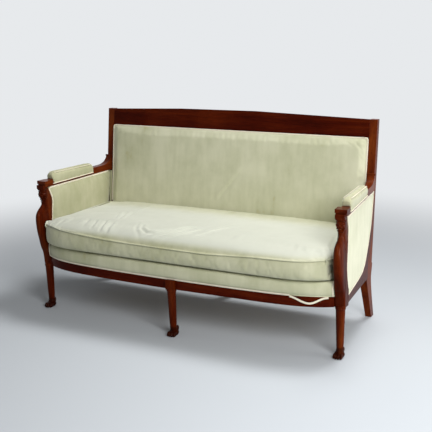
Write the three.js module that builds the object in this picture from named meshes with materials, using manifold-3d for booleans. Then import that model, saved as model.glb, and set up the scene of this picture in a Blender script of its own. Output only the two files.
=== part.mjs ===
// A long upholstered settee: straight padded back, two closed padded arms, a bowed front and six legs.
// Millimetres. X runs along the seat, Y from the front to the back, Z up from the floor.
// The front faces of the front posts lie at Y zero until the whole is centred at the end.

import * as THREE from 'three';
import { mergeVertices } from 'three/addons/utils/BufferGeometryUtils.js';
import Module from 'manifold-3d';

const wasm = await Module();
wasm.setup();

// Clearances
const fit = 0.3;
const overrun = 6;

// Main sizes
const post_outer_span = 807;
const post_width = 48;
const post_depth = 46;
const crest_end_height = 970;
const crest_arch = 17;
const crest_depth = 85;
const side_splay_share = 0.0826;
const back_slope_share = 0.11;
const back_face_setback = 504;
const back_reference_height = 456;

// Seat frame
const rail_bottom_height = 228;
const rail_show_height = 47;
const rail_height = 72;
const rail_thickness = 32;
const rail_rebate = 8;
const front_bow = 28;
const corner_return = 60;
const corner_return_power = 8;
const side_rail_thickness = 24;
const side_rail_inset = 6;
const rear_rail_forward = 16;
const rear_rail_thickness = 28;
const tenon_length = 22;
const tenon_thickness = 12;
const tenon_shoulder = 10;
const cross_rail_width = 32;
const cross_rail_height = 45;
const corner_block_reach = 66;
const corner_block_height = 44;

// Stiles and sabre legs
const stile_inset = 50;
const stile_width = 37;
const stile_top_depth = 28;
const stile_seat_depth = 71;
const stile_shoulder_rise = 52;
const stile_shoulder_step = 8;
const sabre_foot_sweep = 44;
const sabre_foot_depth = 37;
const sabre_ankle_sweep = 22;
const foot_side_taper = 7;
const rebate_tongue = 14;
const rebate_depth = 13;
const rebate_tongue_thickness = 13;

// Carved posts and round legs
const chest_reach = 67;
const muzzle_reach = 40;
const head_height = 87;
const head_top_height = 632;
const block_rise = 5;
const leg_setback = 13;
const leg_top_radius = 22;
const leg_ankle_radius = 16;
const leg_ankle_height = 44;
const collar_height = 9;
const paw_radius = 26;
const paw_setback = 4;
const toe_radius = 8;
const middle_block_width = 45;
const middle_block_depth = 46;
const middle_block_step = 18;

// Arms
const arm_core_outer = 8.3;
const arm_core_thickness = 18.7;
const arm_panel_thickness = 4;
const arm_inner_face = 36.7;
const arm_inner_crown = 4;
const arm_top_drop = 4.4;
const arm_rise_share = 0.024;
const arm_rail_width = 34;
const arm_rail_height = 34;
const arm_rail_inset = 2;
const arm_scroll_rise = 68;
const arm_scroll_length = 55;
const cap_width = 54;
const cap_front = 13;
const cap_back = 40;
const cap_thickness = 16;
const panel_gap = 1;
const panel_front_rise = 35;
const arm_pad_front = 62;
const arm_pad_back_gap = 132;
const arm_pad_width = 40;
const arm_pad_rise = 60;
const arm_pad_lap = 25;
const arm_pad_overhang = 8;

// Upholstery of the seat and back
const deck_front_bulge = 9;
const deck_rise = 50;
const deck_back_gap = 20;
const cushion_front = 106;
const cushion_corner_front = 38;
const cushion_corner_power = 10;
const cushion_end_gap = 8;
const cushion_back_gap = 19;
const cushion_boxing = 69;
const cushion_corner_lift = 17;
const cushion_side_rise = 46;
const cushion_crown = 17;
const cushion_edge_round = 80;
const cushion_side_gap = 6;
const back_pad_edge = 3;
const back_pad_crown = 15;
const back_panel_thickness = 3.4;
const lower_rail_rise = 95;
const lower_rail_height = 45;
const lower_rail_thickness = 13;

// Webbing and hessian
const web_width = 50;
const web_thickness = 1.6;
const web_wave = 1;
const web_landing = 14;
const cross_web_count = 7;
const long_web_count = 3;
const long_web_first = 100;
const long_web_spacing = 88;
const back_web_count = 5;
const hessian_thickness = 1;

// The strip of gimp braid that hangs loose
const gimp_width = 9;
const gimp_thickness = 2.2;
const gimp_steps = 32;

// Derived places
const post_inner_span = post_outer_span - post_width;
const post_middle = post_outer_span - post_width / 2;
const rail_top_height = rail_bottom_height + rail_height;
const crest_bottom_height = crest_end_height - crest_depth;
const rear_rail_setback = back_face_setback - rear_rail_forward;
const rail_show_top = rail_bottom_height + rail_show_height;
const stile_outer_span = post_outer_span - stile_inset;
const stile_inner_span = stile_outer_span - stile_width;
const stile_shoulder_height = rail_bottom_height + stile_shoulder_rise;
const sabre_foot_front = back_face_setback + sabre_foot_sweep;
const sabre_ankle_setback = back_face_setback + sabre_ankle_sweep;
const splay_angle = Math.atan(side_splay_share);
const lean_angle = Math.atan(back_slope_share);
const lean_cosine = Math.cos(lean_angle);
const block_top_height = rail_top_height + block_rise;
const head_bottom_height = head_top_height - head_height;
const console_height = head_bottom_height - block_top_height;
const leg_top_height = rail_bottom_height;
const webbing_top = rail_top_height + fit + web_thickness + 2 * web_wave;
const hessian_low = webbing_top + fit;
const deck_underside = hessian_low + hessian_thickness + fit;
const arm_core_inner = arm_core_outer + arm_core_thickness;
const arm_top_height = head_top_height - arm_top_drop;
const arm_scroll_height = head_top_height + arm_rise_share * back_face_setback + arm_scroll_rise;
const arm_pad_back = back_face_setback - arm_pad_back_gap;
const panel_front_height = rail_bottom_height + panel_front_rise;
const deck_top_height = rail_top_height + deck_rise;
const deck_back_setback = back_face_setback - deck_back_gap;
const cushion_half_length = post_inner_span - cushion_end_gap;
const cushion_back_setback = back_face_setback - cushion_back_gap;
const cushion_piping_height = deck_top_height + cushion_boxing;
const cushion_side_top = cushion_piping_height + cushion_side_rise;
const lower_rail_bottom = rail_top_height + lower_rail_rise;

// Colours
const mahogany = new THREE.MeshStandardMaterial({ color: 0x4a1508, roughness: 0.3, metalness: 0 });
const carved_mahogany = new THREE.MeshStandardMaterial({ color: 0x5e2410, roughness: 0.35, metalness: 0 });
const beech = new THREE.MeshStandardMaterial({ color: 0xb08a5a, roughness: 0.7, metalness: 0 });
const cover_cloth = new THREE.MeshStandardMaterial({ color: 0xc4c4a2, roughness: 0.95, metalness: 0 });
const webbing_cloth = new THREE.MeshStandardMaterial({ color: 0xa98f63, roughness: 0.95, metalness: 0 });
const hessian_cloth = new THREE.MeshStandardMaterial({ color: 0x9c8257, roughness: 1, metalness: 0 });
const gimp_braid = new THREE.MeshStandardMaterial({ color: 0xe2d8bd, roughness: 0.9, metalness: 0 });

// Shapes and booleans

function solidOf(geometry) {
  const bare = geometry.clone();
  bare.deleteAttribute('normal');
  bare.deleteAttribute('uv');
  const merged = mergeVertices(bare, 1e-4);
  return new wasm.Manifold(new wasm.Mesh({
    numProp: 3,
    vertProperties: new Float32Array(merged.attributes.position.array),
    triVerts: new Uint32Array(merged.index.array),
  }));
}

function geometryOf(solid) {
  const mesh = solid.getMesh();
  const geometry = new THREE.BufferGeometry();
  geometry.setAttribute('position', new THREE.BufferAttribute(new Float32Array(mesh.vertProperties), 3));
  geometry.setIndex(new THREE.BufferAttribute(new Uint32Array(mesh.triVerts), 1));
  geometry.computeVertexNormals();
  return geometry;
}

function joined(...geometries) {
  return geometryOf(geometries.map(solidOf).reduce((whole, next) => whole.add(next)));
}

function cut(geometry, ...tools) {
  return geometryOf(tools.map(solidOf).reduce((whole, tool) => whole.subtract(tool), solidOf(geometry)));
}

function common(geometry, other) {
  return geometryOf(solidOf(geometry).intersect(solidOf(other)));
}

function slab(x0, x1, y0, y1, z0, z1) {
  const box = new THREE.BoxGeometry(x1 - x0, y1 - y0, z1 - z0);
  return box.translate((x0 + x1) / 2, (y0 + y1) / 2, (z0 + z1) / 2);
}

// A slab grown on every side, which cuts the mortise for a tenon of the slab's own size.
function tenonAndMortise(x0, x1, y0, y1, z0, z1) {
  return {
    tenon: slab(x0, x1, y0, y1, z0, z1),
    mortise: slab(x0 - fit, x1 + fit, y0 - fit, y1 + fit, z0 - fit, z1 + fit),
  };
}

// An outline drawn from the side, in Y and Z, made solid from x0 to x1.
function sideProfile(shape, x0, x1, curveSegments = 8) {
  const geometry = new THREE.ExtrudeGeometry(shape, { depth: x1 - x0, bevelEnabled: false, curveSegments });
  const turn = new THREE.Matrix4().makeBasis(
    new THREE.Vector3(0, 1, 0), new THREE.Vector3(0, 0, 1), new THREE.Vector3(1, 0, 0));
  return geometry.applyMatrix4(turn).translate(x0, 0, 0);
}

// An outline drawn from the front, in X and Z, made solid from y0 to y1.
function frontProfile(shape, y0, y1, curveSegments = 8) {
  const geometry = new THREE.ExtrudeGeometry(shape, { depth: y1 - y0, bevelEnabled: false, curveSegments });
  return geometry.rotateX(Math.PI / 2).translate(0, y1, 0);
}

// An outline drawn from above, in X and Y, made solid from z0 to z1.
function planProfile(shape, z0, z1) {
  const geometry = new THREE.ExtrudeGeometry(shape, { depth: z1 - z0, bevelEnabled: false });
  return geometry.translate(0, 0, z0);
}

// A skin over closed rings of points, each with as many points as the next, closed at both ends.
function loft(rings) {
  const count = rings[0].length;
  const places = rings.flat().flatMap((point) => [point.x, point.y, point.z]);
  const faces = [];
  for (let ring = 0; ring < rings.length - 1; ring += 1) {
    for (let step = 0; step < count; step += 1) {
      const next = (step + 1) % count;
      const low = ring * count;
      const high = low + count;
      faces.push(low + step, low + next, high + next);
      faces.push(low + step, high + next, high + step);
    }
  }
  for (const [ring, turned] of [[0, true], [rings.length - 1, false]]) {
    const middle = new THREE.Vector3();
    rings[ring].forEach((point) => middle.addScaledVector(point, 1 / count));
    const hub = places.length / 3;
    places.push(middle.x, middle.y, middle.z);
    for (let step = 0; step < count; step += 1) {
      const here = ring * count + step;
      const next = ring * count + (step + 1) % count;
      faces.push(hub, turned ? next : here, turned ? here : next);
    }
  }
  const geometry = new THREE.BufferGeometry();
  geometry.setAttribute('position', new THREE.Float32BufferAttribute(places, 3));
  geometry.setIndex(faces);
  if (signedVolume(geometry) < 0) turnInsideOut(geometry);
  geometry.computeVertexNormals();
  return geometry;
}

function signedVolume(geometry) {
  const place = geometry.attributes.position;
  const [a, b, c] = [new THREE.Vector3(), new THREE.Vector3(), new THREE.Vector3()];
  let volume = 0;
  for (let corner = 0; corner < geometry.index.count; corner += 3) {
    a.fromBufferAttribute(place, geometry.index.getX(corner));
    b.fromBufferAttribute(place, geometry.index.getX(corner + 1));
    c.fromBufferAttribute(place, geometry.index.getX(corner + 2));
    volume += a.dot(b.cross(c)) / 6;
  }
  return volume;
}

function turnInsideOut(geometry) {
  const index = geometry.index.array;
  for (let corner = 0; corner < index.length; corner += 3) {
    [index[corner], index[corner + 1]] = [index[corner + 1], index[corner]];
  }
}

// A piece made for the right side, or its mirror image for the left.
function forSide(geometry, side) {
  if (side > 0) return geometry;
  const mirrored = mergeVertices(geometry.clone().deleteAttribute('normal').deleteAttribute('uv'), 1e-4);
  mirrored.scale(-1, 1, 1);
  turnInsideOut(mirrored);
  mirrored.computeVertexNormals();
  return mirrored;
}

function piece(parent, name, geometry, material) {
  const mesh = new THREE.Mesh(geometry, material);
  mesh.name = name;
  parent.add(mesh);
  return mesh;
}

// The frames in which the arms and the back are drawn

// Inside an arm, X is zero on the outer face and Y runs back along the splayed side.
const armPlace = new THREE.Matrix4().makeTranslation(post_outer_span, 0, 0)
  .multiply(new THREE.Matrix4().makeRotationZ(splay_angle));
const armUndo = armPlace.clone().invert();

// Inside the back, Y is zero on the front of the polished wood and Z runs up along its slope.
const backPlace = new THREE.Matrix4().makeTranslation(0, back_face_setback, back_reference_height)
  .multiply(new THREE.Matrix4().makeRotationX(-lean_angle));

function inArm(geometry) {
  return geometry.clone().applyMatrix4(armPlace);
}

function inBack(geometry) {
  return geometry.clone().applyMatrix4(backPlace);
}

function alongBack(height) {
  return (height - back_reference_height) / lean_cosine;
}

function backFace(height) {
  return back_face_setback + back_slope_share * (height - back_reference_height);
}

function armTop(y) {
  return arm_top_height + arm_rise_share * y;
}

// The bowed line of the front

function frontLine(x) {
  const share = Math.min(1, Math.abs(x) / (post_inner_span + overrun));
  return -front_bow * (1 - share ** 2) - corner_return * (1 - share ** corner_return_power);
}

// Stations across the front, closer together where the line turns in at the ends.
const across_shares = [0, 0.16, 0.32, 0.46, 0.58, 0.68, 0.76, 0.82, 0.87, 0.91, 0.94, 0.965, 0.985, 1];
const across_both = [...across_shares.map((share) => -share).reverse(), ...across_shares.slice(1)];
const front_half_length = post_inner_span - fit;

// A strip seen from above between two lines set back from the front line, from x0 to the post.
function frontBand(x0, front, back) {
  const stations = across_shares.map((share) => share * front_half_length).filter((x) => x > x0);
  const places = [x0, ...stations];
  const shape = new THREE.Shape();
  places.forEach((x, step) => {
    if (step === 0) shape.moveTo(x, frontLine(x) + front);
    else shape.lineTo(x, frontLine(x) + front);
  });
  [...places].reverse().forEach((x) => shape.lineTo(x, frontLine(x) + back));
  shape.closePath();
  return shape;
}

// Rear edge of a front post, seen from the side: deep at the seat, slim behind the chest and head.
const post_back_line = new THREE.SplineCurve([
  new THREE.Vector2(head_top_height, post_depth * 0.3),
  new THREE.Vector2(head_bottom_height + head_height * 0.6, post_depth * 0.67),
  new THREE.Vector2(head_bottom_height + head_height / 6, post_depth * 0.95),
  new THREE.Vector2(block_top_height + console_height * 0.8, post_depth * 0.8),
  new THREE.Vector2(block_top_height + console_height * 0.42, post_depth * 0.61),
  new THREE.Vector2(block_top_height + console_height * 0.25, post_depth * 0.7),
  new THREE.Vector2(block_top_height, post_depth),
]);

function postBack(height) {
  if (height <= block_top_height) return post_depth;
  const points = post_back_line.getPoints(24);
  const after = points.findIndex((point) => point.x <= height);
  if (after <= 0) return points[0].y;
  const [upper, lower] = [points[after - 1], points[after]];
  return lower.y + (upper.y - lower.y) * (height - lower.x) / (upper.x - lower.x);
}

// Rear stile and sabre leg

const stile_front = rear_rail_setback - stile_seat_depth / 2;
const stile_back = stile_front + stile_seat_depth;
const stile_knee_height = rail_top_height + rail_height * 0.4;

// The side outline, pushed outwards by a clearance when it serves to cut a neighbour.
function stileOutline(clear = 0) {
  const front = stile_front - clear;
  const back = stile_back + clear;
  const top = crest_end_height + clear;
  const shape = new THREE.Shape();
  shape.moveTo(sabre_foot_front - clear, -clear);
  shape.lineTo(sabre_foot_front + sabre_foot_depth + clear, -clear);
  shape.quadraticCurveTo(
    sabre_ankle_setback + clear, rail_bottom_height * 0.75,
    back + stile_shoulder_step / 2, rail_bottom_height * 0.95);
  shape.lineTo(back + 2 * stile_shoulder_step, stile_shoulder_height - stile_shoulder_step);
  shape.lineTo(back + 2 * stile_shoulder_step, stile_shoulder_height);
  shape.lineTo(back + stile_shoulder_step, stile_shoulder_height + stile_shoulder_step);
  shape.lineTo(backFace(crest_end_height) + stile_top_depth + clear, top);
  shape.lineTo(backFace(crest_end_height) - clear, top);
  shape.lineTo(backFace(back_reference_height) - clear, back_reference_height);
  shape.quadraticCurveTo(
    backFace(stile_knee_height) - clear, stile_knee_height + rail_height,
    front, stile_knee_height);
  shape.lineTo(front, rail_bottom_height);
  shape.quadraticCurveTo(
    front + stile_shoulder_step, rail_bottom_height * 0.9,
    sabre_foot_front - clear, -clear);
  return shape;
}

const stileEnvelope = sideProfile(
  stileOutline(fit), stile_inner_span - rebate_tongue - fit, stile_outer_span + overrun, 10);
const stileBodyEnvelope = sideProfile(
  stileOutline(fit), stile_inner_span - fit, stile_outer_span + overrun, 10);

// Joints of the frame

const railTenonLow = rail_bottom_height + tenon_shoulder;
const railTenonHigh = rail_top_height - tenon_shoulder - rail_rebate;

const frontTenon = tenonAndMortise(
  post_inner_span - tenon_shoulder, post_inner_span + tenon_length,
  rail_rebate, rail_rebate + tenon_thickness, railTenonLow, railTenonHigh);

const middleTenon = tenonAndMortise(
  middle_block_width / 2 - tenon_length * 0.8, middle_block_width / 2 + tenon_shoulder,
  frontLine(0) + rail_thickness / 2 - tenon_thickness / 2,
  frontLine(0) + rail_thickness / 2 + tenon_thickness / 2, railTenonLow, railTenonHigh);

const side_tenon_outer = -side_rail_inset - tenon_thickness / 2;
const sideFrontTenon = tenonAndMortise(
  side_tenon_outer - tenon_thickness, side_tenon_outer,
  post_depth - tenon_length, post_depth + tenon_shoulder, railTenonLow, railTenonHigh);

const sideBackTenon = tenonAndMortise(
  side_tenon_outer - tenon_thickness * 1.2, side_tenon_outer - tenon_thickness * 0.2,
  stile_front - tenon_shoulder, stile_front + tenon_length, railTenonLow, railTenonHigh);

const rearTenon = tenonAndMortise(
  stile_inner_span - tenon_shoulder, stile_inner_span + tenon_length * 0.9,
  rear_rail_setback + tenon_shoulder * 0.8, rear_rail_setback + tenon_shoulder * 0.8 + tenon_thickness,
  railTenonLow, railTenonHigh);

const crestTenon = tenonAndMortise(
  stile_inner_span - tenon_shoulder, stile_inner_span + tenon_length,
  tenon_shoulder * 0.8, tenon_shoulder * 0.8 + tenon_thickness,
  alongBack(crest_bottom_height) + tenon_shoulder, alongBack(crest_end_height) - 2 * tenon_shoulder);

const lowerTenon = tenonAndMortise(
  stile_inner_span - rebate_tongue - tenon_shoulder, stile_inner_span + tenon_length * 0.7,
  rebate_depth + (lower_rail_thickness - tenon_thickness) / 2,
  rebate_depth + (lower_rail_thickness + tenon_thickness) / 2,
  alongBack(lower_rail_bottom) + tenon_shoulder,
  alongBack(lower_rail_bottom + lower_rail_height) - tenon_shoulder);

const arm_rail_middle = -arm_rail_inset - arm_rail_width / 2;
const armBackTenon = tenonAndMortise(
  arm_rail_middle - tenon_thickness / 2, arm_rail_middle + tenon_thickness / 2,
  backFace(arm_top_height) - tenon_shoulder * 2, backFace(arm_top_height) + tenon_length,
  armTop(back_face_setback) + arm_rail_height / 3, armTop(back_face_setback) + arm_rail_height);

const post_pin = tenonAndMortise(
  post_middle - tenon_thickness / 2, post_middle + tenon_thickness / 2,
  -tenon_thickness / 2, tenon_thickness / 2,
  head_top_height - tenon_shoulder, head_top_height + cap_thickness * 0.9);

const crossFrontTenon = tenonAndMortise(
  -cross_rail_width / 4, cross_rail_width / 4,
  frontLine(0) + middle_block_depth - tenon_length * 0.7, frontLine(0) + middle_block_depth + tenon_shoulder,
  railTenonLow + tenon_shoulder, railTenonHigh - tenon_shoulder);

const crossBackTenon = tenonAndMortise(
  -cross_rail_width / 4, cross_rail_width / 4,
  rear_rail_setback - tenon_shoulder, rear_rail_setback + tenon_length * 0.6,
  railTenonLow + tenon_shoulder, railTenonHigh - tenon_shoulder);

const rearLegTenon = tenonAndMortise(
  -stile_width / 3, stile_width / 3,
  rear_rail_setback + rear_rail_thickness / 2 - tenon_thickness / 2,
  rear_rail_setback + rear_rail_thickness / 2 + tenon_thickness / 2,
  rail_bottom_height - tenon_shoulder, rail_bottom_height + tenon_length * 0.8);

// Front post, leg and paw

// A ring of points seen from above: rounder or squarer in front, square behind.
function postRing(middle, height, front, back, halfWidth, roundPower, backPower = 7) {
  const centre = (front + back) / 2;
  const halfDepth = (back - front) / 2;
  const corners = 20;
  return Array.from({ length: corners }, (_, step) => {
    const angle = 2 * Math.PI * (step + 1 / 2) / corners;
    const power = Math.sin(angle) < 0 ? roundPower : backPower;
    const across = Math.sign(Math.cos(angle)) * Math.abs(Math.cos(angle)) ** (2 / power);
    const deep = Math.sign(Math.sin(angle)) * Math.abs(Math.sin(angle)) ** (2 / power);
    return new THREE.Vector3(middle + halfWidth * across, centre + halfDepth * deep, height);
  });
}

// Rows of shares: height over the console, reach of the front, width, and how round the front is.
const chest_shares = [
  [-0.28, 0.02, 1, 8],
  [-0.14, 0.11, 1, 7],
  [0, 0.24, 1, 6],
  [0.07, 0.39, 1, 4.5],
  [0.18, 0.56, 0.98, 3.4],
  [0.30, 0.70, 0.96, 2.8],
  [0.42, 0.84, 0.94, 2.5],
  [0.54, 0.93, 0.93, 2.3],
  [0.68, 1, 0.92, 2.2],
  [0.79, 0.985, 0.9, 2.1],
  [0.86, 0.86, 0.86, 2.1],
  [0.91, 0.67, 0.8, 2.1],
  [0.96, 0.45, 0.74, 2.1],
  [1, 0.32, 0.7, 2.1],
];

// Rows of shares: height over the head, reach of the front, width, and how round the front is.
const head_shares = [
  [0.08, 0.52, 0.72, 2],
  [0.22, 0.62, 0.74, 1.9],
  [0.34, 0.80, 0.80, 1.6],
  [0.46, 0.98, 0.84, 1.45],
  [0.60, 1, 0.88, 1.45],
  [0.70, 0.84, 0.92, 1.7],
  [0.80, 0.74, 0.94, 2],
  [0.88, 0.80, 0.96, 2.4],
  [0.95, 0.72, 0.92, 2.6],
  [1, 0.58, 0.84, 2.6],
];

const chest_bottom_height = block_top_height - block_rise;

function chestHeight(share) {
  return chest_bottom_height + (head_bottom_height - chest_bottom_height) * share;
}

function headHeight(share) {
  return head_bottom_height + head_height * share;
}

function consoleHeights() {
  return [
    ...chest_shares.map(([share]) => chestHeight(share)),
    ...head_shares.map(([share]) => headHeight(share)),
  ];
}

function consoleForm() {
  const ring = (z, reach, width, round) =>
    postRing(post_middle, z, -reach, postBack(z), width * post_width / 2, round);
  return loft([
    ...chest_shares.map(([share, reach, width, round]) =>
      ring(chestHeight(share), chest_reach * reach, width, round)),
    ...head_shares.map(([share, reach, width, round]) =>
      ring(headHeight(share), muzzle_reach * reach, width, round)),
  ]);
}

function bead(x, y, z, rx, ry, rz) {
  const ball = new THREE.SphereGeometry(1, 10, 7);
  return ball.scale(rx, ry, rz).translate(x, y, z);
}

// Ears, and the tufts of mane at the jaw, on both sides of the head.
function headTufts() {
  const tuft = post_width / 7;
  return [-1, 1].flatMap((side) => [
    bead(post_middle + side * post_width * 0.4, post_depth * 0.02, head_top_height - tuft * 1.6, tuft * 0.8,
      tuft, tuft),
    bead(post_middle + side * post_width * 0.36, -post_depth * 0.12, head_bottom_height + tuft * 2.4,
      tuft * 0.8, tuft * 1.2, tuft * 2),
  ]);
}

// A turned leg with a collar above and an ankle below, standing on the axis x, y.
function turnedLeg(x, y) {
  const collar_bottom = leg_top_height - collar_height;
  const profile = [
    [0, leg_ankle_height - toe_radius],
    [leg_ankle_radius, leg_ankle_height - toe_radius],
    [leg_ankle_radius, leg_ankle_height],
    [leg_ankle_radius * 1.12, leg_ankle_height + leg_top_height / 4],
    [leg_top_radius * 0.92, collar_bottom - collar_height],
    [leg_top_radius * 0.96, collar_bottom],
    [leg_top_radius * 1.08, collar_bottom + collar_height / 3],
    [leg_top_radius * 1.08, leg_top_height - collar_height / 3],
    [leg_top_radius, leg_top_height],
    [leg_top_radius, leg_top_height + tenon_shoulder],
    [0, leg_top_height + tenon_shoulder],
  ].map(([radius, height]) => new THREE.Vector2(radius, height));
  return new THREE.LatheGeometry(profile, 16).rotateX(Math.PI / 2).translate(x, y, 0);
}

// Rows of shares: height over the ankle, width, and how far the foot reaches forward and back.
const paw_shares = [
  [0, 0.9, 1, 0.92],
  [0.28, 1, 1.04, 1],
  [0.55, 0.9, 0.84, 0.98],
  [0.8, 0.66, 0.36, 0.94],
  [1, 0.5, 0.04, 0.9],
];

function paw(x, y) {
  const rings = paw_shares.map(([height, width, front, back]) => postRing(
    x, leg_ankle_height * height, y - paw_radius * front, y + paw_radius * back, paw_radius * width, 2.4, 2.4));
  const toes = [-0.62, -0.22, 0.22, 0.62].map((share) => bead(
    x + paw_radius * share, y - paw_radius * (1.08 - share ** 2 * 0.6), toe_radius,
    toe_radius * 0.72, toe_radius * 1.1, toe_radius));
  return joined(loft(rings), ...toes);
}

// The strip behind the post to which the cover of the arm is tacked.
function tackingTongue() {
  const shape = new THREE.Shape();
  const low = webbing_top + fit;
  const high = head_top_height - fit;
  shape.moveTo(tenon_shoulder, high);
  [high, head_bottom_height, (head_bottom_height + block_top_height) / 2, low].forEach((height) => {
    shape.lineTo(postBack(height) + rebate_tongue, height);
  });
  shape.lineTo(tenon_shoulder, low);
  shape.closePath();
  return inArm(sideProfile(shape, -arm_core_inner + fit, -arm_core_outer - fit));
}

// What the post takes from its neighbours: everything in front of its back edge.
function postEnvelope(clear) {
  const shape = new THREE.Shape();
  shape.moveTo(-2 * chest_reach, head_top_height + clear);
  const heights = consoleHeights().filter((height) => height > block_top_height).reverse();
  shape.lineTo(postBack(head_top_height) + clear, head_top_height + clear);
  heights.forEach((height) => shape.lineTo(postBack(height) + clear, height));
  shape.lineTo(post_depth + clear, block_top_height);
  shape.lineTo(post_depth + clear, rail_bottom_height);
  shape.lineTo(-2 * chest_reach, rail_bottom_height);
  shape.closePath();
  return sideProfile(shape, post_inner_span - overrun, post_outer_span + overrun);
}

function frontPost() {
  const block = slab(post_inner_span, post_outer_span, 0, post_depth, rail_bottom_height, block_top_height);
  const lowest = slab(post_inner_span - post_width, post_outer_span + post_width, -post_depth, 2 * post_depth,
    -post_depth, 0);
  const whole = joined(block, consoleForm(), ...headTufts(), turnedLeg(post_middle, leg_setback),
    paw(post_middle, paw_setback), tackingTongue(), post_pin.tenon);
  return cut(whole, frontTenon.mortise, inArm(sideFrontTenon.mortise), lowest);
}

function middleFrontLeg() {
  const front = frontLine(0) - middle_block_step;
  const block = slab(-middle_block_width / 2, middle_block_width / 2, front, frontLine(0) + middle_block_depth,
    rail_bottom_height, rail_top_height);
  const rebate = slab(-middle_block_width, middle_block_width, front - overrun, frontLine(0) + rail_rebate,
    rail_show_top, rail_top_height + overrun);
  const lowest = slab(-post_width, post_width, -3 * post_depth, post_depth, -post_depth, 0);
  const leg_middle = front + middle_block_width * 0.62;
  const whole = joined(block, turnedLeg(0, leg_middle), paw(0, leg_middle));
  return cut(whole, rebate, middleTenon.mortise, forSide(middleTenon.mortise, -1), crossFrontTenon.mortise,
    lowest);
}

// Rails

function frontRail() {
  const start = middle_block_width / 2 + fit;
  const lower = planProfile(frontBand(start, 0, rail_thickness), rail_bottom_height, rail_show_top);
  const upper = planProfile(frontBand(start, rail_rebate, rail_thickness), rail_show_top, rail_top_height);
  return joined(lower, upper, frontTenon.tenon, middleTenon.tenon);
}

// The side rail, with its rear end swept up in front of the stile.
function sideRail() {
  const sweep_top = armTop(back_face_setback) - 2 * fit - arm_panel_thickness;
  const shape = new THREE.Shape();
  const back = back_face_setback + stile_seat_depth;
  shape.moveTo(post_depth - tenon_length, rail_bottom_height);
  shape.lineTo(back, rail_bottom_height);
  shape.lineTo(back, sweep_top);
  shape.lineTo(panelBack(sweep_top) - rebate_tongue, sweep_top);
  [0.8, 0.6, 0.4, 0.2].forEach((share) => {
    const height = rail_top_height + (sweep_top - rail_top_height) * share;
    shape.lineTo(panelBack(height) - rebate_tongue, height);
  });
  shape.lineTo(panelBack(rail_top_height) - 2 * rebate_tongue, rail_top_height);
  shape.lineTo(post_depth - tenon_length, rail_top_height);
  shape.closePath();
  const rail = inArm(sideProfile(shape, -side_rail_inset - side_rail_thickness, -side_rail_inset));
  const panel_rebate = inArm(sideProfile(panelOutline(fit), -arm_core_outer, overrun));
  const pad_rebate = inArm(slab(-side_rail_inset - 2 * side_rail_thickness, -arm_core_inner,
    0, 2 * back_face_setback, rail_top_height, crest_bottom_height));
  const post_block = slab(post_inner_span - fit, post_outer_span + post_width, -post_depth, post_depth + fit,
    0, block_top_height + fit);
  const stile_cut = sideProfile(stileOutline(fit), stile_inner_span - post_width,
    stile_outer_span + post_width, 10);
  const behind = slab(stile_inner_span - post_width, stile_outer_span + post_width,
    rear_rail_setback, back + overrun, 0, rail_top_height + rail_height / 2);
  const beyond = new THREE.Shape();
  beyond.moveTo(backFace(back_reference_height), back_reference_height);
  beyond.lineTo(backFace(head_top_height + post_depth), head_top_height + post_depth);
  beyond.lineTo(back + post_depth, head_top_height + post_depth);
  beyond.lineTo(back + post_depth, rail_top_height);
  beyond.lineTo(rear_rail_setback, rail_top_height);
  beyond.closePath();
  const upper_cut = sideProfile(beyond, stile_inner_span - post_width, stile_outer_span + post_width);
  const body = cut(rail, panel_rebate, pad_rebate, post_block, stile_cut, behind, upper_cut);
  return joined(body, inArm(sideFrontTenon.tenon), inArm(sideBackTenon.tenon));
}

function rearStile() {
  const body = sideProfile(stileOutline(), stile_inner_span, stile_outer_span, 10);
  const tongue = inBack(slab(
    stile_inner_span - rebate_tongue, stile_inner_span + overrun,
    rebate_depth, rebate_depth + rebate_tongue_thickness,
    alongBack(lower_rail_bottom + lower_rail_height) + fit, alongBack(crest_bottom_height) + overrun));
  const taper = new THREE.Shape();
  taper.moveTo(stile_inner_span - overrun, rail_bottom_height);
  taper.lineTo(stile_inner_span, rail_bottom_height);
  taper.lineTo(stile_inner_span + foot_side_taper, 0);
  taper.lineTo(stile_inner_span + foot_side_taper, -overrun);
  taper.lineTo(stile_inner_span - overrun, -overrun);
  taper.closePath();
  const wedge = frontProfile(taper, 0, back_face_setback * 2);
  const crest_seat = inBack(slab(stile_inner_span - rebate_tongue - overrun, stile_inner_span,
    -overrun, stile_top_depth * 2, alongBack(crest_bottom_height) - fit, alongBack(crest_end_height)));
  return cut(joined(body, tongue), wedge, crest_seat, inBack(crestTenon.mortise), inBack(lowerTenon.mortise),
    rearTenon.mortise, inArm(sideBackTenon.mortise), inArm(armBackTenon.mortise));
}

function rearSeatRail() {
  const half = stile_inner_span - fit;
  const rail = slab(-half, half, rear_rail_setback, rear_rail_setback + rear_rail_thickness,
    rail_bottom_height, rail_top_height);
  const rebate = inBack(slab(-half - overrun, half + overrun, rebate_depth + rebate_tongue_thickness,
    rail_height, alongBack(rail_show_top), 0));
  const body = joined(cut(rail, rebate), rearTenon.tenon, forSide(rearTenon.tenon, -1));
  return cut(body, crossBackTenon.mortise, rearLegTenon.mortise);
}

function crossRail() {
  const front = frontLine(0) + middle_block_depth + fit;
  const back = rear_rail_setback - fit;
  const middle = (railTenonLow + railTenonHigh) / 2;
  const rail = slab(-cross_rail_width / 2, cross_rail_width / 2, front, back,
    middle - cross_rail_height / 2, middle + cross_rail_height / 2);
  return joined(rail, crossFrontTenon.tenon, crossBackTenon.tenon);
}

function middleRearLeg() {
  const leg = sideProfile(stileOutline(), -stile_width / 2, stile_width / 2, 10);
  const below = slab(-post_width, post_width, 0, back_face_setback * 2, -overrun, rail_bottom_height - fit);
  return joined(common(leg, below), rearLegTenon.tenon);
}

function cornerBlock(outline, ...clear) {
  const low = rail_bottom_height + tenon_shoulder;
  return cut(planProfile(outline, low, low + corner_block_height), ...clear);
}

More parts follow.
